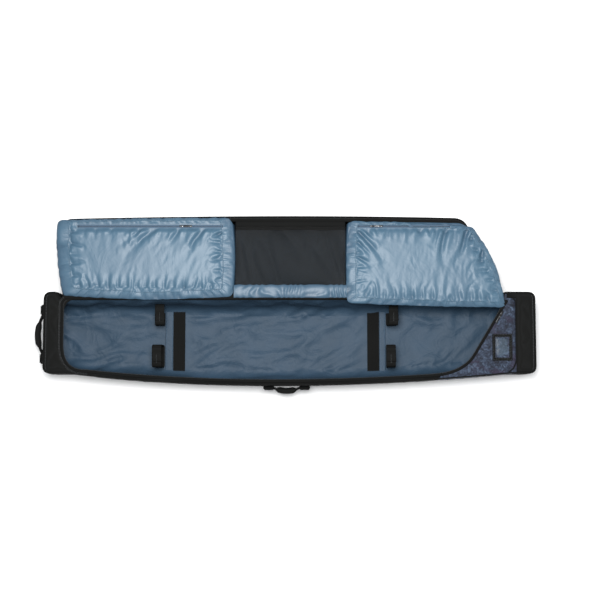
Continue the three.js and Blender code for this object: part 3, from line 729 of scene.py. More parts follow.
def rim_sheets():
    plan = [
        ("left_cap_cloth", "left_cap_top", "shell_fabric", 0.0045, 0.03, 0.003, 1.3),
        ("right_cap_cloth", "right_cap_top", "shell_fabric", 0.0045, 0.03, 0.003, 4.1),
        ("print_panel_cloth", "print_panel", "print_fabric", 0.0030, 0.03, 0.0026, 7.7),
        ("near_gusset_cloth", "near_gusset", "webbing", 0.0008, 0.006, 0.0005, 9.2),
        ("hinge_tape_cloth", "hinge_tape", "webbing", 0.0004, 0.004, 0.0003, 2.2),
    ]
    for name, node, slot, crown, reach, wrinkle, seed in plan:
        bm = flat_top(node, 0.009 if slot != "webbing" else 0.02)
        swell(bm, crown, reach, wrinkle, 0.07, seed)
        solidify(finish_piece(name, bm, "tub", slot, [node]), PILE)


def binding_strip(name, line, width, height, body, slot, thickness=0.0016, replaces=()):
    """A flat woven tape laid along a line, with softly rounded edges."""
    section = [(-0.5, -0.2), (-0.42, 0.5), (0, 0.62), (0.42, 0.5), (0.5, -0.2), (0.42, -0.5), (-0.42, -0.5)]
    sides = [b - a for a, b in zip(line, beside(line, 1.0))]
    rows = [[point + side * across * width + Vector((0, 0, height + up * thickness))
             for point, side in zip(line, sides)] for across, up in section]
    bm = loft([*rows, rows[0]], closed=False)[0]
    bmesh.ops.remove_doubles(bm, verts=bm.verts, dist=1e-6)
    bmesh.ops.holes_fill(bm, edges=[edge for edge in bm.edges if edge.is_boundary], sides=0)
    bmesh.ops.recalc_face_normals(bm, faces=bm.faces)
    return finish_piece(name, bm, body, slot, replaces)


MOUTH_X = -0.904  # left side of the mouth
MOUTH_Y = 0.131  # where the mouth meets the hinge
MOUTH_BACK = (0.866, MOUTH_Y)  # far end of the slanted edge
MOUTH_KNEE = (0.735, -0.085)  # where the slanted edge turns into the near one
MOUTH_CORNER = -0.811  # where the left side has turned into the near one
MOUTH_TURN = -0.042  # where the left side starts to turn
MOUTH_RIM = 0.020  # from the tub's near edge to the mouth
SLANT_START = 0.60  # where the binding of the slanted edge starts
NEAR_SIDE = -0.15  # the outline is the near side below this
CAP_ROW = 0.022  # depth of the row of stitches at each end


def near_inner(x, inset):
    """The near edge of the tub at x, moved inwards."""
    run = [p for p in OUTLINE if p.y < NEAR_SIDE]
    return min(run, key=lambda p: abs(p.x - x)).y + inset


def mouth_edge():
    """The edge of the mouth, from the hinge at the left end round to the hinge at the right."""
    line = [Vector((MOUTH_X + 0.012, MOUTH_Y, 0))]
    line += curve((MOUTH_X, MOUTH_Y - 0.012, 0), (MOUTH_X, 0.05, 0), (MOUTH_X, MOUTH_TURN, 0), 20)
    corner_y = near_inner(MOUTH_CORNER, MOUTH_RIM)
    line += curve((MOUTH_X, MOUTH_TURN, 0), (MOUTH_X, corner_y - 0.004, 0), (MOUTH_CORNER, corner_y, 0), 24)
    line += [Vector((p.x, p.y + MOUTH_RIM, 0)) for p in OUTLINE if p.y < NEAR_SIDE and -0.80 < p.x < 0.58]
    end = line[-1]
    line += curve(end, (0.69, near_inner(0.66, 0.021), 0), (*MOUTH_KNEE, 0), 24)
    line += [Vector((*MOUTH_BACK, 0))]
    return resample(line, 0.008)


def rim_trims():
    """The zip round the mouth, the binding of the slanted edge, and rows of stitching on the caps."""
    mouth = mouth_edge()
    top = RIM + 0.0008
    slant = [p for p in mouth if p.x > SLANT_START]
    rest = [p for p in mouth if p.x <= SLANT_START + 0.012]
    binding_strip("main_zip_tape", beside(rest, -0.004), 0.012, top + 0.0006, "tub", "webbing")
    zip_teeth("main_zip_teeth", raised(beside(mouth, 0.0018), top + 0.0022), "tub", "moulded_plastic",
              width=0.0046)
    binding_strip("slanted_edge_binding", beside(slant, -0.0045), 0.011, top + 0.0016, "tub", "webbing",
                  0.0022)
    row = [p for p in mouth if p.x < -0.80]
    for i, distance in enumerate((-0.0125, -0.0165)):
        stitches(f"mouth_stitches_{i + 1}", raised(beside(row, distance), top + 0.0022), "tub")
    cap_row = beside(OUTLINE, 0.010, closed=True)
    for side, at_end in (("left", lambda p: p.x < END_LEFT + CAP_ROW),
                         ("right", lambda p: p.x > END_RIGHT - CAP_ROW)):
        row = sorted((p for p in cap_row if at_end(p) and abs(p.y) < 0.150), key=lambda p: p.y)
        stitches(f"{side}_cap_stitches_1", raised(row, RIM + 0.0024), "tub")
    cap_x = -MOUTH_X
    seam = resample([Vector((0.860, 0.160, 0)), Vector((0.885, 0.150, 0)), Vector((cap_x, 0.125, 0)),
                     Vector((cap_x, -0.112, 0)), Vector((cap_x - 0.012, -0.142, 0)),
                     Vector((cap_x - 0.032, -0.158, 0))], 0.006)
    tube("print_edge_piping", raised(seam, RIM + 0.0028), 0.0026, "tub", "webbing")


# ---- Lining of the tub --------------------------------------------------------------------------

LINING_PROFILE = [  # (inwards from the wall, share of the height), from the rim down to the floor
    (0.001, 0.995), (0.003, 0.95), (0.007, 0.84), (0.010, 0.70), (0.012, 0.55), (0.013, 0.42),
                  (0.016, 0.30),
    (0.021, 0.20), (0.029, 0.11), (0.041, 0.05), (0.055, 0.02),
]
BANDS = [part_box("floor_band_1"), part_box("floor_band_2")]
FLOOR = low("floor_lining").z


def lining_ring():
    """Plan of the lining: inside the walls, with a square end in front of the wheel housing."""
    inner = beside(OUTLINE, 0.0085, closed=True)
    end = high("floor_lining").x
    run = stretch_of(lambda p: p.x < end - 0.03)
    start = OUTLINE.index(run[0])
    ring = [inner[(start + k) % len(OUTLINE)] for k in range(len(run))]
    near, far = ring[-1], ring[0]
    ring += curve(near + Vector((0.004, 0, 0)), (end, near.y, 0), (end, near.y + 0.03, 0), 6)
    ring += curve((end, far.y - 0.03, 0), (end, far.y, 0), (far.x + 0.004, far.y, 0), 6)
    return resample(ring, LINING_CELL, closed=True)


def station_mask(x):
    """1 away from the sewn stations, 0 on them, where the lining is held flat."""
    gap = min(max(b[0].x - 0.045 - x, x - b[1].x - 0.012, 0) if b[0].x < 0 else
              max(b[0].x - 0.012 - x, x - b[1].x - 0.085, 0) for b in BANDS)
    return ease(gap / 0.05)


def tub_lining():
    ring = lining_ring()
    rows = []
    for inward, share in LINING_PROFILE:
        z = FLOOR + (RIM - FLOOR) * share
        rows.append(raised(beside(ring, inward, closed=True), z))
    bm, chains = loft(rows)
    floor_faces = cap(bm, chains[-1])
    cut_grid(bm, floor_faces, LINING_CELL)
    bmesh.ops.recalc_face_normals(bm, faces=bm.faces)
    inside = sum(face.normal.z for face in bm.faces if face.calc_center_median().z < FLOOR + 0.01)
    if inside < 0:
        bmesh.ops.reverse_faces(bm, faces=bm.faces)
    bmesh.ops.triangulate(bm, faces=[face for face in bm.faces if len(face.verts) > 4])
    bm.normal_update()
    moves = []
    for vert in bm.verts:
        x, y, z = vert.co
        height = (z - FLOOR) / (RIM - FLOOR)
        loose = (1 - ease((height - 0.80) / 0.19)) * (0.25 + 0.75 * station_mask(x))
        lean = 0.15 + 0.55 * ease((x + 0.2) / 0.7)
        lengthways = x * math.cos(lean) + y * math.sin(lean)
        crossways = y * math.cos(lean) - x * math.sin(lean)
        fold = ridge(lengthways * 4.5, crossways * 15 + 5.0, z * 10) - 0.42
        cross = ridge(lengthways * 9 + 9.0, crossways * 22 - z * 12, 2.0) - 0.42
        fine = ridge(x * 30 - z * 20, y * 34, 5.0) - 0.42
        amount = loose * (0.0125 * fold + 0.0055 * cross + 0.0010 * fine)
        moves.append(vert.normal * amount)
    for vert, move in zip(bm.verts, moves):
        vert.co += move
        vert.co.z = max(vert.co.z, FLOOR + 0.0012)
    piece = finish_piece("tub_lining", bm, "tub", "lining_fabric", ["floor_lining", "wall_lining"])
    subdivide(piece)
    return piece


def subdivide(piece):
    modifier = piece.modifiers.new("smooth_cloth", "SUBSURF")
    modifier.levels = modifier.render_levels = 1
    return piece


# ---- Ski stations -------------------------------------------------------------------------------

def strap(name, points, width, thickness, across, body, slot, replaces):
    """A flat strap along a path. across is the direction of its width."""
    across = Vector(across).normalized()
    path = resample(points, 0.006)
    section = [(-0.5, 0.0), (-0.46, 0.42), (-0.3, 0.5), (0.3, 0.5), (0.46, 0.42), (0.5, 0.0), (0.46, -0.42),
               (0.3, -0.5), (-0.3, -0.5), (-0.46, -0.42)]
    rows = []
    for i, point in enumerate(path):
        way = (path[min(i + 1, len(path) - 1)] - path[max(i - 1, 0)]).normalized()
        up = way.cross(across).normalized()
        rows.append([point + across * a * width + up * b * thickness for a, b in section])
    bm, chains = loft(rows)
    cap(bm, chains[0])
    cap(bm, chains[-1])
    bmesh.ops.recalc_face_normals(bm, faces=bm.faces)
    return finish_piece(name, bm, body, slot, replaces)


def box_stitches(name, centre, size, u, v, body):
    """A square of stitching with a cross in it, as on a handle's patch."""
    u, v = Vector(u) * size[0] / 2, Vector(v) * size[1] / 2
    centre = Vector(centre)
    a, b, c, d = centre - u - v, centre + u - v, centre + u + v, centre - u + v
    sides = ((a, b), (b, c), (c, d), (d, a), (a, c), (b, d))
    bm = repeated(bead(6, 4, (THREAD, THREAD, 0.0017)),
                  [place for side in sides for place in along(side, 0.0046)])
    return finish_piece(name, bm, body, "webbing", material=GREY_THREAD)


def ribbed_band(name, node):
    """A wide elastic band across the floor, with ribs along it."""
    a, b = low(node), high(node)
    count = 9
    rows = []
    steps = [a.x + (b.x - a.x) * i / (count * 4) for i in range(count * 4 + 1)]
    for i, x in enumerate(steps):
        height = b.z + 0.0022 + 0.0009 * math.cos(i * math.pi / 2) + 0.0012
        row = []
        for k in range(31):
            y = a.y + (b.y - a.y) * k / 30
            side = max(abs(2 * k / 30 - 1) - 0.9, 0) * 10
            row.append(Vector((x, y, height + side * 0.006)))
        rows.append(row)
    bm = loft(rows, closed=False)[0]
    face_up(bm)
    return solidify(finish_piece(name, bm, "tub", "webbing", [node]), 0.002)


def stations():
    for i in (1, 2):
        node = f"floor_band_{i}"
        ribbed_band(f"elastic_band_{i}", node)
        a, b = low(f"floor_strip_{i}"), high(f"floor_strip_{i}")
        y_steps = [a.y + (b.y - a.y) * k / 40 for k in range(41)]
        middle = (a.x + b.x) / 2
        line = [Vector((middle, y, b.z + 0.0015 + 0.0008 * noise.noise(Vector((i * 3, y * 30, 0)))))
                for y in y_steps]
        strap(f"sewn_strip_{i}", line, b.x - a.x, 0.0018, (1, 0, 0), "tub", "lining_fabric",
              [f"floor_strip_{i}"])
        for k, x in enumerate((a.x + 0.003, b.x - 0.003)):
            stitches(f"strip_stitches_{i}_{k + 1}", [Vector((x, y, b.z + 0.0031)) for y in y_steps], "tub",
                     "lining_fabric", BLUE_THREAD)
    for i in range(1, 5):
        node = f"ski_strap_{i}"
        a, b = low(node), high(node)
        width = b.x - a.x
        middle = (a.x + b.x) / 2
        y0, y1, z0, z1 = a.y + 0.004, b.y - 0.004, a.z + 0.003, b.z - 0.002
        loop = [Vector((middle, p.x, p.y))
                for p in rounded([(y0, z0), (y1, z0), (y1, z1), (y0, z1)], 0.016)]
        lean = 0.006 if i % 2 else -0.005
        loop = [Vector((p.x + lean * (p.z - z0) / (z1 - z0), p.y, p.z + 0.002 * math.sin(p.y * 60)))
                for p in loop]
        start = next(k for k in range(len(loop)) if loop[k].z > z1 - 0.002)
        loop = loop[start:] + loop[:start + 1]
        tail = loop[-1]
        loop += [tail + Vector((0, -0.02, 0.0026)), tail + Vector((0.001, -0.045, 0.0034)),
                 tail + Vector((0.002, -0.060, 0.0040))]
        strap(f"ski_strap_loop_{i}", loop, width, 0.0022, (1, 0, 0), "tub", "webbing", [node])
        stitches(f"ski_strap_stitches_{i}", [Vector((middle + lean + s, y, z1 + 0.0052)) for s,
                                             y in ((0, y0 + 0.014), (0, y0 + 0.05))],
                 "tub")


# ---- Handles ------------------------------------------------------------------------------------

GRIP_THICK = 0.0095  # thickness of a handle's strap
GRIP_SINK = 0.002  # how deep a handle's ends sit in its patches
WRAP_THICK = 0.0125  # half the thickness of the padded wrap
WRAP_FRONT = 0.0122  # from the strap's middle to the stitches on the wrap


def patch(name, node, body, out):
    """A square of doubled webbing sewn to the wall, under a handle's end."""
    a, b = low(node), high(node)
    bm = bmesh.new()
    middle, size = (a + b) / 2, b - a
    bmesh.ops.create_cube(bm, size=1, matrix=Matrix.Translation(middle) @ Matrix.Diagonal((*size, 1)))
    round_edges(bm, [*bm.edges], min(size) * 0.42, 3)
    finish_piece(name, bm, body, "webbing", [node])
    out = Vector(out)
    u = Vector((0, 0, 1))
    v = u.cross(out)
    span = abs(v.dot(size))
    face = middle + out * (abs(out.dot(size)) / 2 + 0.0003)
    box_stitches(name + "_stitches", face, (size.z * 0.74, span * 0.74), u, v, body)


def handle(name, node, points, body, wrap_from, wrap_to):
    """A webbing handle: a strap bent to its shape, with a padded wrap sewn round its middle."""
    a, b = low(node), high(node)
    width = (b.z - a.z) * 0.96
    strap(name + "_strap", points, width, GRIP_THICK, (0, 0, 1), body, "webbing", [node])
    path = resample(points, 0.004)
    middle = path[int(len(path) * wrap_from):int(len(path) * wrap_to)]
    rows = []
    for i, point in enumerate(middle):
        way = (middle[min(i + 1, len(middle) - 1)] - middle[max(i - 1, 0)]).normalized()
        up = way.cross(Vector((0, 0, 1))).normalized()
        share = i / (len(middle) - 1)
        plump = WRAP_THICK * min(1.0, 0.55 + 3.0 * min(share, 1 - share))
        ring = []
        for k in range(14):
            turn = 2 * math.pi * k / 14
            upwards = Vector((0, 0, 1)) * math.sin(turn) * (width / 2 + 0.0016)
            ring.append(point + upwards + up * math.cos(turn) * plump)
        rows.append(ring)
    bm, chains = loft(rows)
    cap(bm, chains[0])
    cap(bm, chains[-1])
    bmesh.ops.recalc_face_normals(bm, faces=bm.faces)
    finish_piece(name + "_wrap", bm, body, "shell_fabric")
    out = (middle[1] - middle[0]).normalized().cross(Vector((0, 0, 1)))
    seam = [p + Vector((-WRAP_FRONT * abs(out.x), -WRAP_FRONT * abs(out.y), 0.004)) for p in middle[2:-2]]
    stitches(name + "_wrap_stitches", seam, body, "shell_fabric")


def grip_line(first, last, back, front, turn, rise):
    """A handle's path along a wall and out from it: out at one end, round the hand, and back."""
    line = curve((first, back, 0), (first + turn[0], back - turn[1], 0),
                 (first + rise[0], back - rise[1], 0), 8)
    line += curve(line[-1], ((first + last) / 2, front - 0.004, 0), (last - rise[0], back - rise[1], 0),
                  24)[1:]
    line += curve(line[-1], (last - turn[0], back - turn[1], 0), (last, back, 0), 8)[1:]
    return line


def handles():
    a, b = low("end_handle"), high("end_handle")
    line = grip_line(a.y, b.y, b.x - GRIP_SINK, a.x - 0.0060, (0.012, 0.003), (0.030, 0.012))
    points = [Vector((p.y, p.x, (a.z + b.z) / 2)) for p in line]
    handle("end_grip", "end_handle", points, "end_handle", 0.25, 0.75)
    a, b = low("side_handle"), high("side_handle")
    line = grip_line(a.x, b.x, b.y - GRIP_SINK, a.y - 0.0010, (0.012, 0.002), (0.025, 0.007))
    points = [Vector((p.x, p.y, (a.z + b.z) / 2)) for p in line]
    handle("side_grip", "side_handle", points, "side_handle", 0.22, 0.78)
    for i in (1, 2):
        patch(f"end_grip_patch_{i}", f"end_handle_patch_{i}", "tub", (-1, 0, 0))
        patch(f"side_grip_patch_{i}", f"side_handle_patch_{i}", "tub", (0, -1, 0))
    for grip in ("end", "side"):
        for i in (1, 2):
            node = f"{grip}_handle"
            place = (low(f"{node}_patch_{i}") + high(f"{node}_patch_{i}")) / 2
            if grip == "end":
                place.x = high(node).x - 0.001
            else:
                place.y = high(node).y - 0.001
            ends = [Vector((place.x, place.y, place.z + reach)) for reach in (-0.012, 0.012)]
            tube(f"{grip}_grip_bar_{i}", ends, 0.0024, node, "webbing")


# ---- Wheels and housing -------------------------------------------------------------------------

TYRE_PROFILE = [  # (share of the half width, share of the radius)
    (-0.72, 0.74), (-1.0, 0.80), (-1.0, 0.90), (-0.90, 0.965), (-0.74, 0.99), (-0.56, 0.997),
                (-0.50, 0.965),
    (-0.42, 0.965), (-0.36, 1.0), (-0.08, 1.0), (-0.05, 0.965), (0.05, 0.965), (0.08, 1.0), (0.36, 1.0),
                (0.42, 0.965),
    (0.50, 0.965), (0.56, 0.997), (0.74, 0.99), (0.90, 0.965), (1.0, 0.90), (1.0, 0.80), (0.72, 0.74),
]
HUB_PROFILE = [
    (-0.70, 0.995), (-0.92, 0.97), (-0.92, 0.86), (-0.62, 0.80), (-0.50, 0.42), (-0.80, 0.36),
               (-0.98, 0.32), (-0.98, 0.16),
    (0.98, 0.16), (0.98, 0.32), (0.80, 0.36), (0.50, 0.42), (0.62, 0.80), (0.92, 0.86), (0.92, 0.97),
               (0.70, 0.995),
]


def turned(name, profile, centre, half_width, radius, body, slot, node):
    """A shape turned about the axle."""
    bm = bmesh.new()
    points = [centre + Vector((radius * r, half_width * w, 0)) for w, r in profile]
    edges = chain(bm, points, True)
    ring = bmesh.ops.spin(bm, geom=[*edges, *bm.verts], cent=centre, axis=(0, 1, 0), angle=2 * math.pi,
                          steps=56, use_merge=True)
    bmesh.ops.remove_doubles(bm, verts=bm.verts, dist=1e-6)
    bmesh.ops.recalc_face_normals(bm, faces=bm.faces)
    return soften(finish_piece(name, bm, body, slot, [node]))


def wheels():
    for side in ("near", "far"):
        body = f"{side}_wheel"
        a, b = low(f"{side}_wheel_tyre"), high(f"{side}_wheel_tyre")
        centre, half, radius = (a + b) / 2, (b.y - a.y) / 2, (b.z - a.z) / 2
        turned(f"{side}_tyre", TYRE_PROFILE, centre, half, radius, body, "wheel_rubber",
               f"{side}_wheel_tyre")
        hub_a, hub_b = low(f"{side}_wheel_hub"), high(f"{side}_wheel_hub")
        hub_radius, hub_half = (hub_b.z - hub_a.z) / 2, (hub_b.y - hub_a.y) / 2
        turned(f"{side}_hub", HUB_PROFILE, centre, hub_half, hub_radius, body, "moulded_plastic",
               f"{side}_wheel_hub")
        bm = bmesh.new()
        for spoke in range(6):
            turn = Matrix.Translation(centre) @ Matrix.Rotation(math.radians(60 * spoke), 4, "Y")
            for face in (-1, 1):
                place = turn @ Matrix.Translation((hub_radius * 0.60, face * hub_half * 0.66, 0))
                cube = bmesh.ops.create_cube(bm, size=1, matrix=place @ Matrix.Diagonal((hub_radius * 0.44,
                                                                                         hub_half * 0.40,
                                                                                         0.0044, 1)))
                round_edges(bm, edges_of(cube["verts"]), 0.0007, 2)
        finish_piece(f"{side}_spokes", bm, body, "moulded_plastic")
        node = frame["nodes"][f"{side}_wheel_axle"]
        axle_a, axle_b = low(node.name), high(node.name)
        bm = bmesh.new()
        axle_radius = (axle_b.z - axle_a.z) / 2
        for face in (-1, 1):
            head = Matrix.Translation((centre.x, centre.y + face * ((axle_b.y - axle_a.y) / 2 - 0.0015),
                                       centre.z))
            bmesh.ops.create_cone(bm, cap_ends=True, segments=6, radius1=axle_radius * 1.7,
                                  radius2=axle_radius * 1.7, depth=0.003,
                                  matrix=head @ Matrix.Rotation(math.radians(90), 4, "X"))
        round_edges(bm, [*bm.edges], 0.0004, 2)
        finish_piece(f"{side}_axle_bolts", bm, "tub", "steel", smooth=False)
        kept_node(node.name, "steel")


def housing():
    """The moulded wheel housing keeps its CAD shape, with ribs and screws added."""
    kept_node("wheel_housing", "moulded_plastic")
    a, b = low("wheel_housing"), high("wheel_housing")
    bm = bmesh.new()
    for k in range(7):
        y = -0.048 + k * 0.016
        cube = bmesh.ops.create_cube(bm, size=1, matrix=Matrix.Translation((b.x + 0.0004, y,
                                                                            (a.z + b.z) / 2)) @
                                     Matrix.Diagonal((0.0022, 0.005, (b.z - a.z) * 0.72, 1)))
        round_edges(bm, edges_of(cube["verts"]), 0.0009, 3)
    finish_piece("housing_ribs", bm, "tub", "moulded_plastic")
    bm = bmesh.new()
    for y in (-0.064, 0.064):
        for z in (a.z + 0.014, b.z - 0.012):
            place = Matrix.Translation((b.x + 0.0004, y, z)) @ Matrix.Rotation(math.radians(90), 4, "Y")
            bmesh.ops.create_cone(bm, cap_ends=True, segments=20, radius1=0.0052, radius2=0.0040,
                                  depth=0.0026, matrix=place)
    round_edges(bm, [*bm.edges], 0.0004, 2)
    finish_piece("housing_screws", bm, "tub", "steel", smooth=False)


def kept_node(name, slot):
    """A moulded or turned node that keeps its CAD shape and takes a finish."""
    materials = frame["nodes"][name].data.materials
    materials.clear()
    materials.append(LOOKS[slot])


def base_cloth():
    """The outside of the tub's base and of the lid's panel, seen from below and when the lid is closed."""
    for name, node, body in (("base_cloth", "base_panel", "tub"), ("lid_outer_cloth", "lid_panel", "lid")):
        bm = bmesh.new()
        bm.from_mesh(frame["nodes"][node].data)
        bmesh.ops.remove_doubles(bm, verts=bm.verts, dist=1e-5)
        bottom = low(node).z
        over = [face for face in bm.faces if face.calc_center_median().z > bottom + 1e-4]
        bmesh.ops.delete(bm, geom=over, context="FACES")
        bmesh.ops.dissolve_faces(bm, faces=bm.faces)
        cut_grid(bm, list(bm.faces), 0.011)
        bmesh.ops.recalc_face_normals(bm, faces=bm.faces)
        if sum(face.normal.z for face in bm.faces) > 0:
            bmesh.ops.reverse_faces(bm, faces=bm.faces)
        swell(bm, 0.0030, 0.05, 0.0022, 0.09, 3.3)
        for vert in bm.verts:
            vert.co.z = max(vert.co.z, bottom + 0.0012)
        piece = finish_piece(name, bm, body, "shell_fabric", [node])
        solidify(piece, 0.003)


# ---- Tag ----------------------------------------------------------------------------------------

def tag():
    a, b = low("tag_frame"), high("tag_frame")
    wa, wb = low("tag_window"), high("tag_window")
    rise = 0.0026
    outer = [Vector((p.x, p.y, 0))
             for p in rounded([(a.x, a.y), (b.x, a.y), (b.x, b.y), (a.x, b.y)], 0.006)]
    inner = [Vector((p.x, p.y, 0))
             for p in rounded([(wa.x, wa.y), (wb.x, wa.y), (wb.x, wb.y), (wa.x, wb.y)], 0.004)]
    mid = [(o + i) / 2 for o, i in zip(outer, inner)]
    levels = [(outer, a.z), (outer, b.z + rise - 0.0012), (beside(outer, 0.0012, True), b.z + rise),
              (mid, b.z + rise + 0.0006), (beside(inner, -0.0012, True), b.z + rise),
              (inner, b.z + rise - 0.0012), (inner, a.z)]
    bm, chains = loft([raised(line, z) for line, z in levels])
    bmesh.ops.bridge_loops(bm, edges=chains[-1] + chains[0])
    bmesh.ops.recalc_face_normals(bm, faces=bm.faces)
    finish_piece("tag_surround", bm, "tub", "webbing", ["tag_frame"])
    window = bmesh.new()
    edges = chain(window, raised(beside(inner, -0.001, True), a.z + rise), True)
    faces = cap(window, edges)
    cut_grid(window, faces, 0.004)
    swell(window, 0.0012, 0.02, 0.0010, 0.03, 1.0)
    face_up(window)
    solidify(finish_piece("tag_pane", window, "tub", "clear_window", ["tag_window"]), 0.0006)
    for i, line in enumerate((beside(outer, 0.0028, True), beside(inner, -0.0026, True))):
        stitches(f"tag_stitches_{i + 1}",
                 [p + Vector((0, 0, b.z + rise + 0.0006)) for p in [*line, line[0]]], "tub")


# ---- Lid ----------------------------------------------------------------------------------------

LID_LEFT, LID_RIGHT = low("lid_panel").x, high("lid_panel").x
LID_HINGE, LID_FREE = low("lid_panel").y, high("lid_panel").y
SLANT_FOOT = 0.148


def lid_outline():
    """The outer edge of the lid, anticlockwise from the hinge side's left end."""
    line = [Vector((LID_LEFT, LID_HINGE, 0)), Vector((LID_RIGHT, LID_HINGE, 0))]
    slant_top = Vector((LID_RIGHT - SLANT_FOOT, LID_FREE - 0.010, 0))
    along = (slant_top - line[1]).normalized()
    line += curve(slant_top - along * 0.034, slant_top, slant_top + Vector((-0.034, 0.003, 0)), 8)
    line += curve(line[-1], (0, LID_FREE + 0.010, 0), (LID_LEFT + 0.034, LID_FREE - 0.010, 0), 40)[1:]
    line += curve(line[-1], (LID_LEFT, LID_FREE - 0.010, 0), (LID_LEFT, LID_FREE - 0.044, 0), 8)[1:]
    return line


LID_LINE = resample(lid_outline(), 0.010, closed=True)


def lid_walls():
    bottom, top = 0.0032, LID_EDGE + 0.0003
    count = len(LID_LINE)
    hinge_side = [p for p in LID_LINE if p.y < LID_HINGE + 0.004]
    hinge_side.sort(key=lambda p: p.x)
    rest = [p for p in LID_LINE if p.y >= LID_HINGE - 0.001]
    start = next(k for k in range(count)
                 if LID_LINE[k].y >= LID_HINGE + 0.004 and LID_LINE[k - 1].y < LID_HINGE + 0.004)
    around = [LID_LINE[(start - 1 + k) % count] for k in range(count - len(hinge_side) + 2)]
    slant = [p for p in around if p.x > 0.66]
    free = [p for p in around if -0.876 < p.x <= 0.668 and p.y > 0.3]
    left = [p for p in around if p.x <= -0.868 and p.y > LID_HINGE - 0.001]
    for name, line, node, slack, seed in (
            ("lid_slanted_cloth", slant, "lid_slanted_wall", 0.002, 6.0),
                                          ("lid_free_cloth", free, "lid_free_wall", 0.0026, 7.0),
            ("lid_left_cloth", left, "lid_left_wall", 0.002, 8.0),
                                          ("lid_hinge_cloth", hinge_side, "lid_hinge_wall", 0.0006, 9.0)):
        slot = "print_fabric" if node == "lid_slanted_wall" else "shell_fabric"
        solidify(cloth_wall(name, line, bottom, top, "lid", slot, [node], slack, seed), PILE)
    edge = raised(around, LID_EDGE + 0.0006)
    tube("lid_edge_piping", beside(edge, 0.0008), PIPING, "lid", "webbing")
    foot = raised(around, 0.004)
    tube("lid_foot_piping", beside(foot, 0.001), PIPING * 0.9, "lid", "webbing")
    bm = flat_top("lid_zip_gusset", 0.012)
    swell(bm, 0.0006, 0.006, 0.0004, 0.07, 5.0)
    solidify(finish_piece("lid_flange_cloth", bm, "lid", "webbing", ["lid_zip_gusset"]), PILE)
    zip_teeth("lid_zip_teeth", raised(beside(around, 0.0065), LID_EDGE + 0.0016), "lid", "moulded_plastic",
              width=0.0046)
    bm = flat_top("lid_lining", 0.014)
    swell(bm, 0.002, 0.02, 0.006, 0.08, 8.0)
    floor_cloth = solidify(finish_piece("lid_floor_cloth", bm, "lid", "lining_fabric", ["lid_lining"]),
                           0.001)
    a, b = low("lid_lining"), high("lid_lining")


# ---- Padded pouches -----------------------------------------------------------------------------

def bowed_ring(corners, bows, height, counts, wobble, seed):
    """A closed row of points: bowed sides, rounded corners, and the wobble of a gathered seam."""
    points = []
    total = len(corners)
    for i in range(total):
        start, end = Vector((*corners[i], 0)), Vector((*corners[(i + 1) % total], 0))
        way = (end - start).normalized()
        out = Vector((way.y, -way.x, 0))
        for k in range(counts[i]):
            share = k / counts[i]
            point = start.lerp(end, share) + out * bows[i] * math.sin(math.pi * share)
            ease_in = min(1.0, 6 * min(share, 1 - share))
            slow = noise.noise(Vector((point.x * 11 + seed, point.y * 11, seed)))
            quick = noise.noise(Vector((point.x * 46 + seed, point.y * 46, seed + 3)))
            point += out * wobble * ease_in * (1.6 * slow + 1.2 * quick)
            lift = wobble * 1.3 * noise.noise(Vector((point.x * 40, point.y * 40, seed + 7)))
            points.append(point + Vector((0, 0, height + lift)))
    for pass_number in range(3):
        points = [points[i] * 0.5 + (points[i - 1] + points[(i + 1) % len(points)]) * 0.25
                  if min(abs(i - sum(counts[:c])) for c in range(total + 1)) <= 2 else points[i]
                  for i in range(len(points))]
    return points


def pouch_mesh(rings, counts, seed):
    """The slack pouch: a bottom, walls that bulge over the lid's edge, a seam, and a gridded top."""
    rows = [bowed_ring(corners, bows, z, counts, wobble, seed) for corners, bows, z, wobble in rings]
    bm, chains = loft(rows)
    cut_grid(bm, cap(bm, chains[0]), POUCH_CELL * 2.5)
    seam = [edge.verts[0].co.copy() for edge in chains[-1]] + [edge.verts[1].co.copy()
                                                               for edge in chains[-1]]
    top_faces = cut_grid(bm, cap(bm, chains[-1]), POUCH_CELL)
    top = {tuple(vert.co) for face in top_faces for vert in face.verts}
    bmesh.ops.triangulate(bm, faces=[face for face in bm.faces if len(face.verts) > 4])
    bmesh.ops.recalc_face_normals(bm, faces=bm.faces)
    return bm, rows[-1], seam, top


def inflate(piece, pressure, slack, frames):
    """Fills the pouch with air inside its held seams, and applies the result."""
    cloth = piece.modifiers.new("inflate", "CLOTH")
    settings = cloth.settings
    settings.quality = 6
    settings.mass = 0.2
    settings.tension_stiffness = settings.compression_stiffness = 22
    settings.shear_stiffness = 10
    settings.bending_stiffness = 0.08
    settings.use_pressure = True
    settings.uniform_pressure_force = pressure
    settings.effector_weights.gravity = 0
    settings.vertex_group_mass = "held"
    settings.vertex_group_shrink = "tight"
    settings.shrink_min = -slack
    settings.shrink_max = -0.004
    cloth.collision_settings.use_collision = False
    cloth.point_cache.frame_start, cloth.point_cache.frame_end = 1, frames
    scene = bpy.context.scene
    for step in range(1, frames + 1):
        scene.frame_set(step)
    graph = bpy.context.evaluated_depsgraph_get()
    mesh = bpy.data.meshes.new_from_object(piece.evaluated_get(graph))
    piece.modifiers.clear()
    piece.data = mesh
    scene.frame_set(1)


CROWN = 0.0062  # how far the filling lifts a pouch's top above its seam
RELIEF = 0.0028  # highest fold above that
ZIP_FLAT = 0.1600  # height of the flat strip that carries a pouch's zip


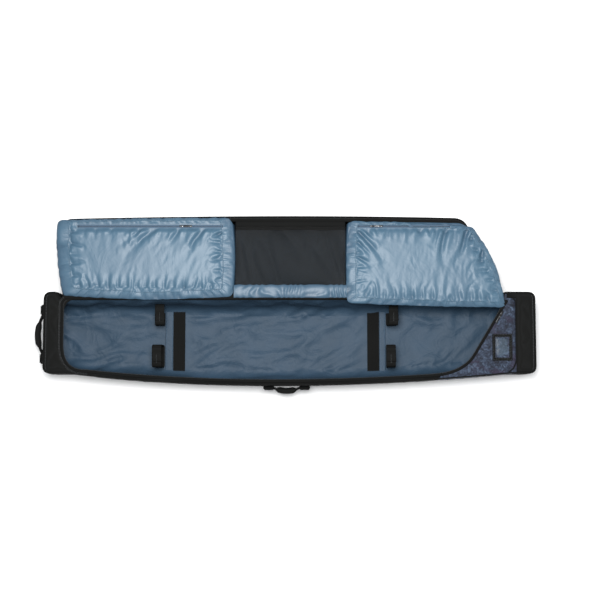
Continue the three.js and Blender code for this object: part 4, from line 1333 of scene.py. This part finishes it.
def gathers(start, end, inwards, count, seed):
    """Small uneven folds along a seam."""
    folds = []
    for i in range(count):
        chance = [0.5 + 0.5 * noise.noise(Vector((i * 1.7 + k * 9.3, seed, k * 3.1))) for k in range(5)]
        x, y = Vector(start).lerp(Vector(end), (i + 0.2 + 0.6 * chance[0]) / count)
        folds.append((x, y, inwards + 1.6 * (chance[1] - 0.5), 0.030 + 0.080 * chance[2] ** 2,
                      0.0075 + 0.008 * chance[3], 0.0015 + 0.0055 * chance[4], 0.3 * (chance[1] - 0.5)))
    return folds


def fold_relief(x, y, folds):
    """Height of the folds that the filling pulls in a pouch's top."""
    total = 0.0
    for start_x, start_y, angle, length, width, depth, bend in folds:
        along_fold = Vector((math.cos(angle), math.sin(angle)))
        away = Vector((x - start_x, y - start_y))
        u = away.dot(along_fold) / length
        if 0 < u < 1:
            v = (away.cross(along_fold) - bend * length * math.sin(math.pi * u)) / (width * (0.6 + 0.8 * u))
            total += depth * (1 - u) ** 1.3 * math.exp(-v * v) * (v * 1.5 - 0.25)
    return total


def smooth_heights(mesh, passes):
    """The heights of a mesh's points once its folds are smoothed away."""
    bm = bmesh.new()
    bm.from_mesh(mesh)
    for step in range(passes):
        bmesh.ops.smooth_vert(bm, verts=bm.verts, factor=0.5, use_axis_x=False, use_axis_y=False,
                              use_axis_z=True)
    heights = [vert.co.z for vert in bm.verts]
    bm.free()
    return heights


def pouch(name, node, rings, counts, folds, seed):
    """A padded pouch: inflated cloth held by its seams, and the folds its filling pulls in the top."""
    bm, seam_row, seam_points, top_points = pouch_mesh(rings, counts, seed)
    mesh = bpy.data.meshes.new(name)
    bm.to_mesh(mesh)
    bm.free()
    piece = bpy.data.objects.new(name, mesh)
    bpy.context.scene.collection.objects.link(piece)
    tree = kdtree.KDTree(len(seam_points))
    for i, point in enumerate(seam_points):
        tree.insert(point, i)
    tree.balance()
    seam_z = rings[-1][2]
    held_below = rings[-3][2] - 0.001
    held = piece.vertex_groups.new(name="held")
    zip_low, zip_high = low(node + "_zip"), high(node + "_zip")
    zip_y = (zip_low.y + zip_high.y) / 2
    reach = [tree.find(vert.co)[2] for vert in mesh.vertices]
    top = [tuple(vert.co) in top_points and distance > 1e-5 for vert, distance in zip(mesh.vertices, reach)]
    tight = piece.vertex_groups.new(name="tight")
    for vert, on_top, distance in zip(mesh.vertices, top, reach):
        if vert.co.z < held_below or distance < 1e-5:
            held.add([vert.index], 1.0, "REPLACE")
        if on_top:
            tight.add([vert.index], ease((distance - 0.015) / 0.06), "REPLACE")
            relief = fold_relief(vert.co.x, vert.co.y, folds)
            vert.co.z += 0.006 * ease(distance / 0.05) + relief
            vert.co.z += 0.0012 * noise.noise(Vector((vert.co.x * 24 + seed, vert.co.y * 24, 0)))
    inflate(piece, 2.6, 0.05, 16)
    smooth = smooth_heights(piece.data, 14)
    for vert, on_top, level, distance in zip(piece.data.vertices, top, smooth, reach):
        if on_top:
            loose = ease(distance / 0.014)
            detail = vert.co.z - level + 0.75 * fold_relief(vert.co.x, vert.co.y, folds) * loose
            lift = max(level - seam_z, 0.0)
            vert.co.z = seam_z + CROWN * (1 - math.exp(-lift / CROWN)) + min(max(detail, -0.008), RELIEF)
            beside_zip = max(abs(vert.co.y - zip_y) - 0.008,
                             zip_low.x - vert.co.x, vert.co.x - zip_high.x, 0)
            flat = 1 - ease(beside_zip / 0.016)
            vert.co.z += (ZIP_FLAT - vert.co.z) * flat
        if vert.co.y < LID_HINGE + 0.004:
            vert.co.z = max(vert.co.z, 0.1512)
    piece.data.update()
    for polygon in piece.data.polygons:
        polygon.use_smooth = True
    piece.data.materials.clear()
    piece.data.materials.append(LOOKS["pouch_fabric"])
    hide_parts(node)
    subdivide(piece)
    return piece, resample(raised(seam_row, 0.0008), 0.004, closed=True)


LEFT_RINGS = [  # (corners, bow of each side, height, wobble), from the bottom to the seam of the top
    ([(-0.886, 0.156), (-0.224, 0.156), (-0.224, 0.444), (-0.886, 0.444)], (0, 0, 0, 0), 0.013, 0),
    ([(-0.887, 0.156), (-0.222, 0.156), (-0.222, 0.445), (-0.887, 0.445)], (0, 0.004, 0, 0), 0.060, 0),
    ([(-0.886, 0.156), (-0.222, 0.156), (-0.222, 0.445), (-0.886, 0.445)], (0, 0.006, 0, 0), 0.110, 0),
    ([(-0.884, 0.155), (-0.224, 0.155), (-0.226, 0.444), (-0.884, 0.444)], (0, 0.008, 0, 0), 0.1405, 0),
    ([(-0.890, 0.150), (-0.226, 0.150), (-0.230, 0.448), (-0.892, 0.448)], (0.001, 0.008, 0, 0),
     0.1520, 0),
    ([(-0.906, 0.149), (-0.230, 0.144), (-0.238, 0.460), (-0.930, 0.452)], (0.014, 0.009, 0.002, 0.008),
     0.1524, 0.001),
    ([(-0.912, 0.147), (-0.234, 0.142), (-0.242, 0.464), (-0.938, 0.455)], (0.014, 0.009, 0.002, 0.010),
     0.1548, 0.0015),
    ([(-0.899, 0.158), (-0.246, 0.153), (-0.256, 0.456), (-0.922, 0.450)], (0.013, 0.008, 0.002, 0.010),
     0.1592, 0.0015),
    ([(-0.866, 0.178), (-0.268, 0.172), (-0.276, 0.448), (-0.888, 0.443)], (0.012, 0.005, 0.002, 0.008),
     0.1622, 0.0034),
]
RIGHT_RINGS = [
    ([(0.231, 0.156), (0.818, 0.156), (0.676, 0.444), (0.231, 0.444)], (0, 0, 0, 0), 0.013, 0),
    ([(0.229, 0.156), (0.819, 0.156), (0.677, 0.445), (0.229, 0.445)], (0, 0, 0, 0.004), 0.060, 0),
    ([(0.229, 0.156), (0.819, 0.156), (0.677, 0.445), (0.229, 0.445)], (0, 0, 0, 0.006), 0.110, 0),
    ([(0.231, 0.155), (0.817, 0.155), (0.676, 0.444), (0.231, 0.444)], (0, 0, 0, 0.006), 0.1405, 0),
    ([(0.232, 0.147), (0.828, 0.149), (0.690, 0.444), (0.236, 0.447)], (0.001, 0.002, 0, 0.006),
     0.1520, 0),
    ([(0.230, 0.122), (0.858, 0.103), (0.728, 0.424), (0.246, 0.448)], (0.003, 0.024, 0.004, 0.010),
     0.1524, 0.001),
    ([(0.232, 0.114), (0.866, 0.096), (0.738, 0.426), (0.246, 0.450)], (0.003, 0.026, 0.004, 0.012),
     0.1548, 0.0015),
    ([(0.244, 0.124), (0.858, 0.104), (0.732, 0.424), (0.252, 0.444)], (0.003, 0.026, 0.004, 0.010),
     0.1592, 0.0015),
    ([(0.266, 0.140), (0.840, 0.120), (0.722, 0.412), (0.270, 0.434)], (0.003, 0.022, 0.003, 0.004),
     0.1622, 0.0034),
]
LEFT_FOLDS = [  # x and y of the seam end, direction, length, width, depth and bend of each fold
    (-0.524, 0.440, -2.39, 0.230, 0.019, 0.021, 0.04), (-0.585, 0.440, -2.46, 0.150, 0.015, 0.014, -0.05),
    (-0.341, 0.430, -2.16, 0.180, 0.016, 0.018, 0.05), (-0.438, 0.440, -2.18, 0.120, 0.013, 0.013, -0.04),
    (-0.693, 0.440, -2.39, 0.080, 0.012, 0.009, 0.03), (-0.748, 0.438, -2.52, 0.070, 0.011, 0.009, 0.06),
    (-0.820, 0.436, -2.55, 0.060, 0.010, 0.007, -0.03), (-0.274, 0.405, -2.47, 0.060, 0.010, 0.008, 0.05),
    (-0.272, 0.312, -2.81, 0.060, 0.010, 0.006, -0.06), (-0.385, 0.440, -1.35, 0.055, 0.010, 0.008, 0.05),
    *gathers((-0.850, 0.180), (-0.290, 0.174), 1.57, 15, 1.0),
              *gathers((-0.868, 0.200), (-0.884, 0.420), 0.0, 5, 2.0),
    *gathers((-0.272, 0.200), (-0.276, 0.420), 3.14, 6, 3.0),
              *gathers((-0.860, 0.440), (-0.300, 0.444), -1.57, 10, 4.0),
]
RIGHT_FOLDS = [
    (0.268, 0.402, -0.96, 0.210, 0.016, 0.017, -0.06), (0.266, 0.362, -0.90, 0.125, 0.013, 0.010, -0.05),
    (0.276, 0.428, -0.62, 0.140, 0.012, 0.009, 0.05), (0.268, 0.300, -0.70, 0.090, 0.011, 0.008, -0.05),
    (0.500, 0.434, -0.95, 0.070, 0.012, 0.010, 0.05), (0.546, 0.430, -1.30, 0.060, 0.010, 0.010, -0.04),
    (0.628, 0.428, -1.66, 0.200, 0.015, 0.018, 0.09), (0.708, 0.424, -1.97, 0.190, 0.016, 0.018, -0.05),
    (0.730, 0.400, -1.75, 0.095, 0.012, 0.009, 0.06), (0.775, 0.345, -1.74, 0.125, 0.013, 0.009, 0.05),
    (0.400, 0.434, -2.10, 0.060, 0.011, 0.008, -0.05), (0.340, 0.432, -1.25, 0.060, 0.010, 0.008, 0.05),
    *gathers((0.290, 0.140), (0.820, 0.122), 1.57, 14, 5.0),
               *gathers((0.268, 0.170), (0.270, 0.400), 0.0, 4, 6.0),
    *gathers((0.838, 0.150), (0.735, 0.390), 2.9, 6, 7.0),
               *gathers((0.290, 0.434), (0.700, 0.418), -1.57, 8, 8.0),
]


def pouches():
    made = [pouch("left_padded_pouch", "left_pouch", LEFT_RINGS, (100, 44, 100, 44), LEFT_FOLDS, 1.0),
            pouch("right_padded_pouch", "right_pouch", RIGHT_RINGS, (92, 50, 70, 46), RIGHT_FOLDS, 4.0)]
    for piece, line in made:
        cord = tube(piece.name + "_piping", line, 0.0017, "lid", "pouch_fabric", closed=True)
        free_of_body(cord)
        for part in (piece, cord):
            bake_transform(part)


# ---- Mesh pocket and gathered strip -------------------------------------------------------------

def mesh_pocket():
    a, b = low("mesh_panel"), high("mesh_panel")
    bm = bmesh.new()
    plan = [Vector((a.x, a.y, b.z)), Vector((b.x, a.y, b.z)), Vector((b.x, b.y, b.z)),
            Vector((a.x, b.y, b.z))]
    faces = cap(bm, chain(bm, plan, True))
    cut_grid(bm, faces, 0.008)
    for vert in bm.verts:
        u, v = (vert.co.x - a.x) / (b.x - a.x), (vert.co.y - a.y) / (b.y - a.y)
        sag = math.sin(math.pi * u) ** 0.7 * math.sin(math.pi * min(v, 0.999)) ** 0.8
        fold = ridge(vert.co.x * 15 + vert.co.y * 5, vert.co.y * 2.5 + 2, 1.0) - 0.45
        vert.co.z += -0.020 * sag + 0.010 * fold * min(1, 4 * sag)
    face_up(bm)
    net = finish_piece("mesh_pocket_net", bm, "lid", "pocket_mesh", ["mesh_panel"])
    subdivide(net)
    hem_a, hem_b = low("mesh_hem"), high("mesh_hem")
    y = (hem_a.y + hem_b.y) / 2
    line = resample([Vector((hem_a.x, y, 0)), Vector((hem_b.x, y, 0))], 0.01)
    line = [p + Vector((0, 0.0012 * math.sin(p.x * 35), 0)) for p in line]
    binding_strip("mesh_pocket_hem", line, 0.014, hem_b.z - 0.001, "lid", "webbing", 0.004, ["mesh_hem"])
    band = resample([Vector((hem_a.x, hem_b.y + 0.012, 0)), Vector((hem_b.x, hem_b.y + 0.012, 0))], 0.01)
    binding_strip("pocket_edge_band", band, 0.026, RIM - 0.0012, "lid", "webbing", 0.003)
    for i, shift in enumerate((-0.0045, 0.0045)):
        stitches(f"hem_stitches_{i + 1}", [p + Vector((0, shift, hem_b.z + 0.0016)) for p in line], "lid",
                 material=BLACK_THREAD)


def gathered_strip():
    a, b = low("gathered_strip"), high("gathered_strip")
    rows = []
    steps = 12
    across = [HINGE_Y - 0.004 + (b.y + 0.004 - HINGE_Y + 0.004) * k / steps for k in range(steps + 1)]
    count = 150
    for k, y in enumerate(across):
        share = k / steps
        puff = math.sin(math.pi * share) ** 0.6
        row = []
        for i in range(count + 1):
            x = a.x - 0.006 + (b.x - a.x + 0.012) * i / count
            phase = 2 * math.pi * (x / 0.034 + 1.9 * noise.noise(Vector((x * 9, share * 0.8, 0))))
            ripple = math.sin(phase) * (0.5 + 0.9 * noise.noise(Vector((x * 13 + 4, share * 2, 0))))
            row.append(Vector((x, y + 0.0012 * math.cos(phase),
                               b.z + 0.0015 + 0.006 * puff + 0.0030 * ripple * (0.35 + 0.65 * puff))))
        rows.append(row)
    bm = loft(rows, closed=False)[0]
    face_up(bm)
    piece = finish_piece("gathered_cloth_strip", bm, "lid", "pouch_fabric", ["gathered_strip"])
    free_of_body(piece)
    subdivide(piece)
    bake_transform(piece)


def hinge_fold():
    """The cloth hinge between the tub's far edge and the lid."""
    rows = []
    left, right = LID_LEFT + 0.002, LID_RIGHT - 0.004
    for k in range(9):
        y = HINGE_Y - 0.008 + 0.016 * k / 8
        rows.append([Vector((x, y, RIM + 0.0006 + 0.0008 * math.sin(math.pi * k / 8)))
                     for x in [left + (right - left) * i / 120 for i in range(121)]])
    bm = loft(rows, closed=False)[0]
    face_up(bm)
    piece = finish_piece("hinge_fold_cloth", bm, "lid", "webbing")
    free_of_body(piece)
    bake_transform(piece)


# ---- Zips and sliders ---------------------------------------------------------------------------

def pouch_zips():
    for side in ("left", "right"):
        a, b = low(f"{side}_pouch_zip"), high(f"{side}_pouch_zip")
        y = (a.y + b.y) / 2
        line = resample([Vector((a.x, y, 0)), Vector((b.x, y, 0))], 0.01)
        height = ZIP_FLAT + 0.0006
        binding_strip(f"{side}_pouch_zip_cloth", line, b.y - a.y, height, "lid", "zip_tape", 0.0016,
                      [f"{side}_pouch_zip"])
        zip_teeth(f"{side}_pouch_zip_teeth", raised(line, height + 0.0016), "lid", "zip_tape",
                  material=LOOKS["moulded_plastic"], width=0.0044)


def slider(name, slider_node, puller_node, along, lift):
    """A zip slider with its bridge, and its puller."""
    along = Vector(along).normalized()
    across = Vector((-along.y, along.x, 0))
    a, b = low(slider_node), high(slider_node)
    centre = (a + b) / 2 + Vector((0, 0, lift))
    turn = Matrix((along, across, Vector((0, 0, 1)))).transposed().to_4x4()
    length = 0.015
    bm = bmesh.new()
    for z, width, size, height in ((-0.0022, 0.0088, 0.92, 0.0016), (0.0012, 0.0092, 1.0, 0.0018),
                                   (0.0034, 0.0030, 0.62, 0.0016)):
        place = Matrix.Translation(centre) @ turn @ Matrix.Translation((0, 0, z))
        shape = Matrix.Diagonal((length * size, width, height, 1))
        cube = bmesh.ops.create_cube(bm, size=1, matrix=place @ shape)
        for vert in cube["verts"]:
            local = turn.inverted() @ (vert.co - centre)
            if local.x < 0 and z < 0.003:
                vert.co -= across * math.copysign(0.0018, local.y)
        round_edges(bm, edges_of(cube["verts"]), 0.0006, 3)
    finish_piece(name + "_body", bm, slider_node, "slider_metal", [slider_node])
    pa, pb = low(puller_node), high(puller_node)
    middle = (pa + pb) / 2 + Vector((0, 0, lift))
    reach = abs((pb - pa).dot(along)) if abs(along.x) > 0.9 else 0.037
    bm = bmesh.new()
    outline = rounded([(-0.5, -0.5), (0.5, -0.38), (0.5, 0.38), (-0.5, 0.5)], 0.14, 5)
    plan = [middle + along * p.x * reach + across * p.y * 0.0085 for p in outline]
    faces = cap(bm, chain(bm, plan, True))
    grown = bmesh.ops.extrude_face_region(bm, geom=faces)
    bmesh.ops.translate(bm, verts=[v for v in grown["geom"] if isinstance(v, bmesh.types.BMVert)],
                        vec=(0, 0, 0.0022))
    bmesh.ops.recalc_face_normals(bm, faces=bm.faces)
    soften(finish_piece(name + "_pull_tab", bm, puller_node, "slider_metal", [puller_node]))


def sliders():
    slider("left_zip_slider", "left_pouch_slider", "left_pouch_puller", (1, 0, 0), 0.0115)
    slider("right_zip_slider", "right_pouch_slider", "right_pouch_puller", (1, 0, 0), 0.0115)
    slider("main_zip_slider", "main_slider", "main_puller", (-0.51857, -0.85504, 0), 0.0025)


# ---- Studio -------------------------------------------------------------------------------------

def studio():
    scene = bpy.context.scene
    floor_bm = bmesh.new()
    bmesh.ops.create_grid(floor_bm, x_segments=8, y_segments=8, size=12)
    mesh = bpy.data.meshes.new("studio_floor")
    floor_bm.to_mesh(mesh)
    floor_bm.free()
    floor = bpy.data.objects.new("studio_floor", mesh)
    scene.collection.objects.link(floor)
    mesh.materials.append(studio_paper())
    world = bpy.data.worlds.new("studio_light")
    scene.world = world
    world.use_nodes = True
    background = world.node_tree.nodes["Background"]
    background.inputs["Color"].default_value = (0.96, 0.98, 1.0, 1)
    background.inputs["Strength"].default_value = 0.55
    for name, place, target, size, power in (
            ("key_softbox", (-0.15, 0.40, 3.6), (-0.05, 0.2, 0.1), 1.5, 185),
            ("side_softbox", (2.8, 0.8, 2.4), (0.2, 0, 0.1), 1.6, 15)):
        data = bpy.data.lights.new(name, "AREA")
        data.shape = "SQUARE"
        data.size = size
        data.energy = power
        light = bpy.data.objects.new(name, data)
        scene.collection.objects.link(light)
        light.location = place
        light.rotation_euler = (Vector(target) - Vector(place)).to_track_quat("-Z", "Y").to_euler()
    camera_data = bpy.data.cameras.new("camera")
    camera_data.sensor_width = 36
    camera_data.lens = 67.5
    camera = bpy.data.objects.new("camera", camera_data)
    scene.collection.objects.link(camera)
    target = Vector((0.042, 0.130, 0.150))
    tilt = math.radians(85)
    camera.location = target + Vector((0, -math.cos(tilt), math.sin(tilt))) * 4.5
    camera.rotation_euler = (target - camera.location).to_track_quat("-Z", "Y").to_euler()
    scene.camera = camera
    scene.view_settings.view_transform = "Standard"
    scene.view_settings.look = "None"
    scene.view_settings.exposure = 0.0


# ---- Put together -------------------------------------------------------------------------------

studio()
tub_walls()
piping()
rim_sheets()
rim_trims()
tub_lining()
stations()
handles()
wheels()
housing()
kept_node("skid_plate", "moulded_plastic")
base_cloth()
tag()
lid_walls()
pouches()
mesh_pocket()
gathered_strip()
hinge_fold()
pouch_zips()
sliders()
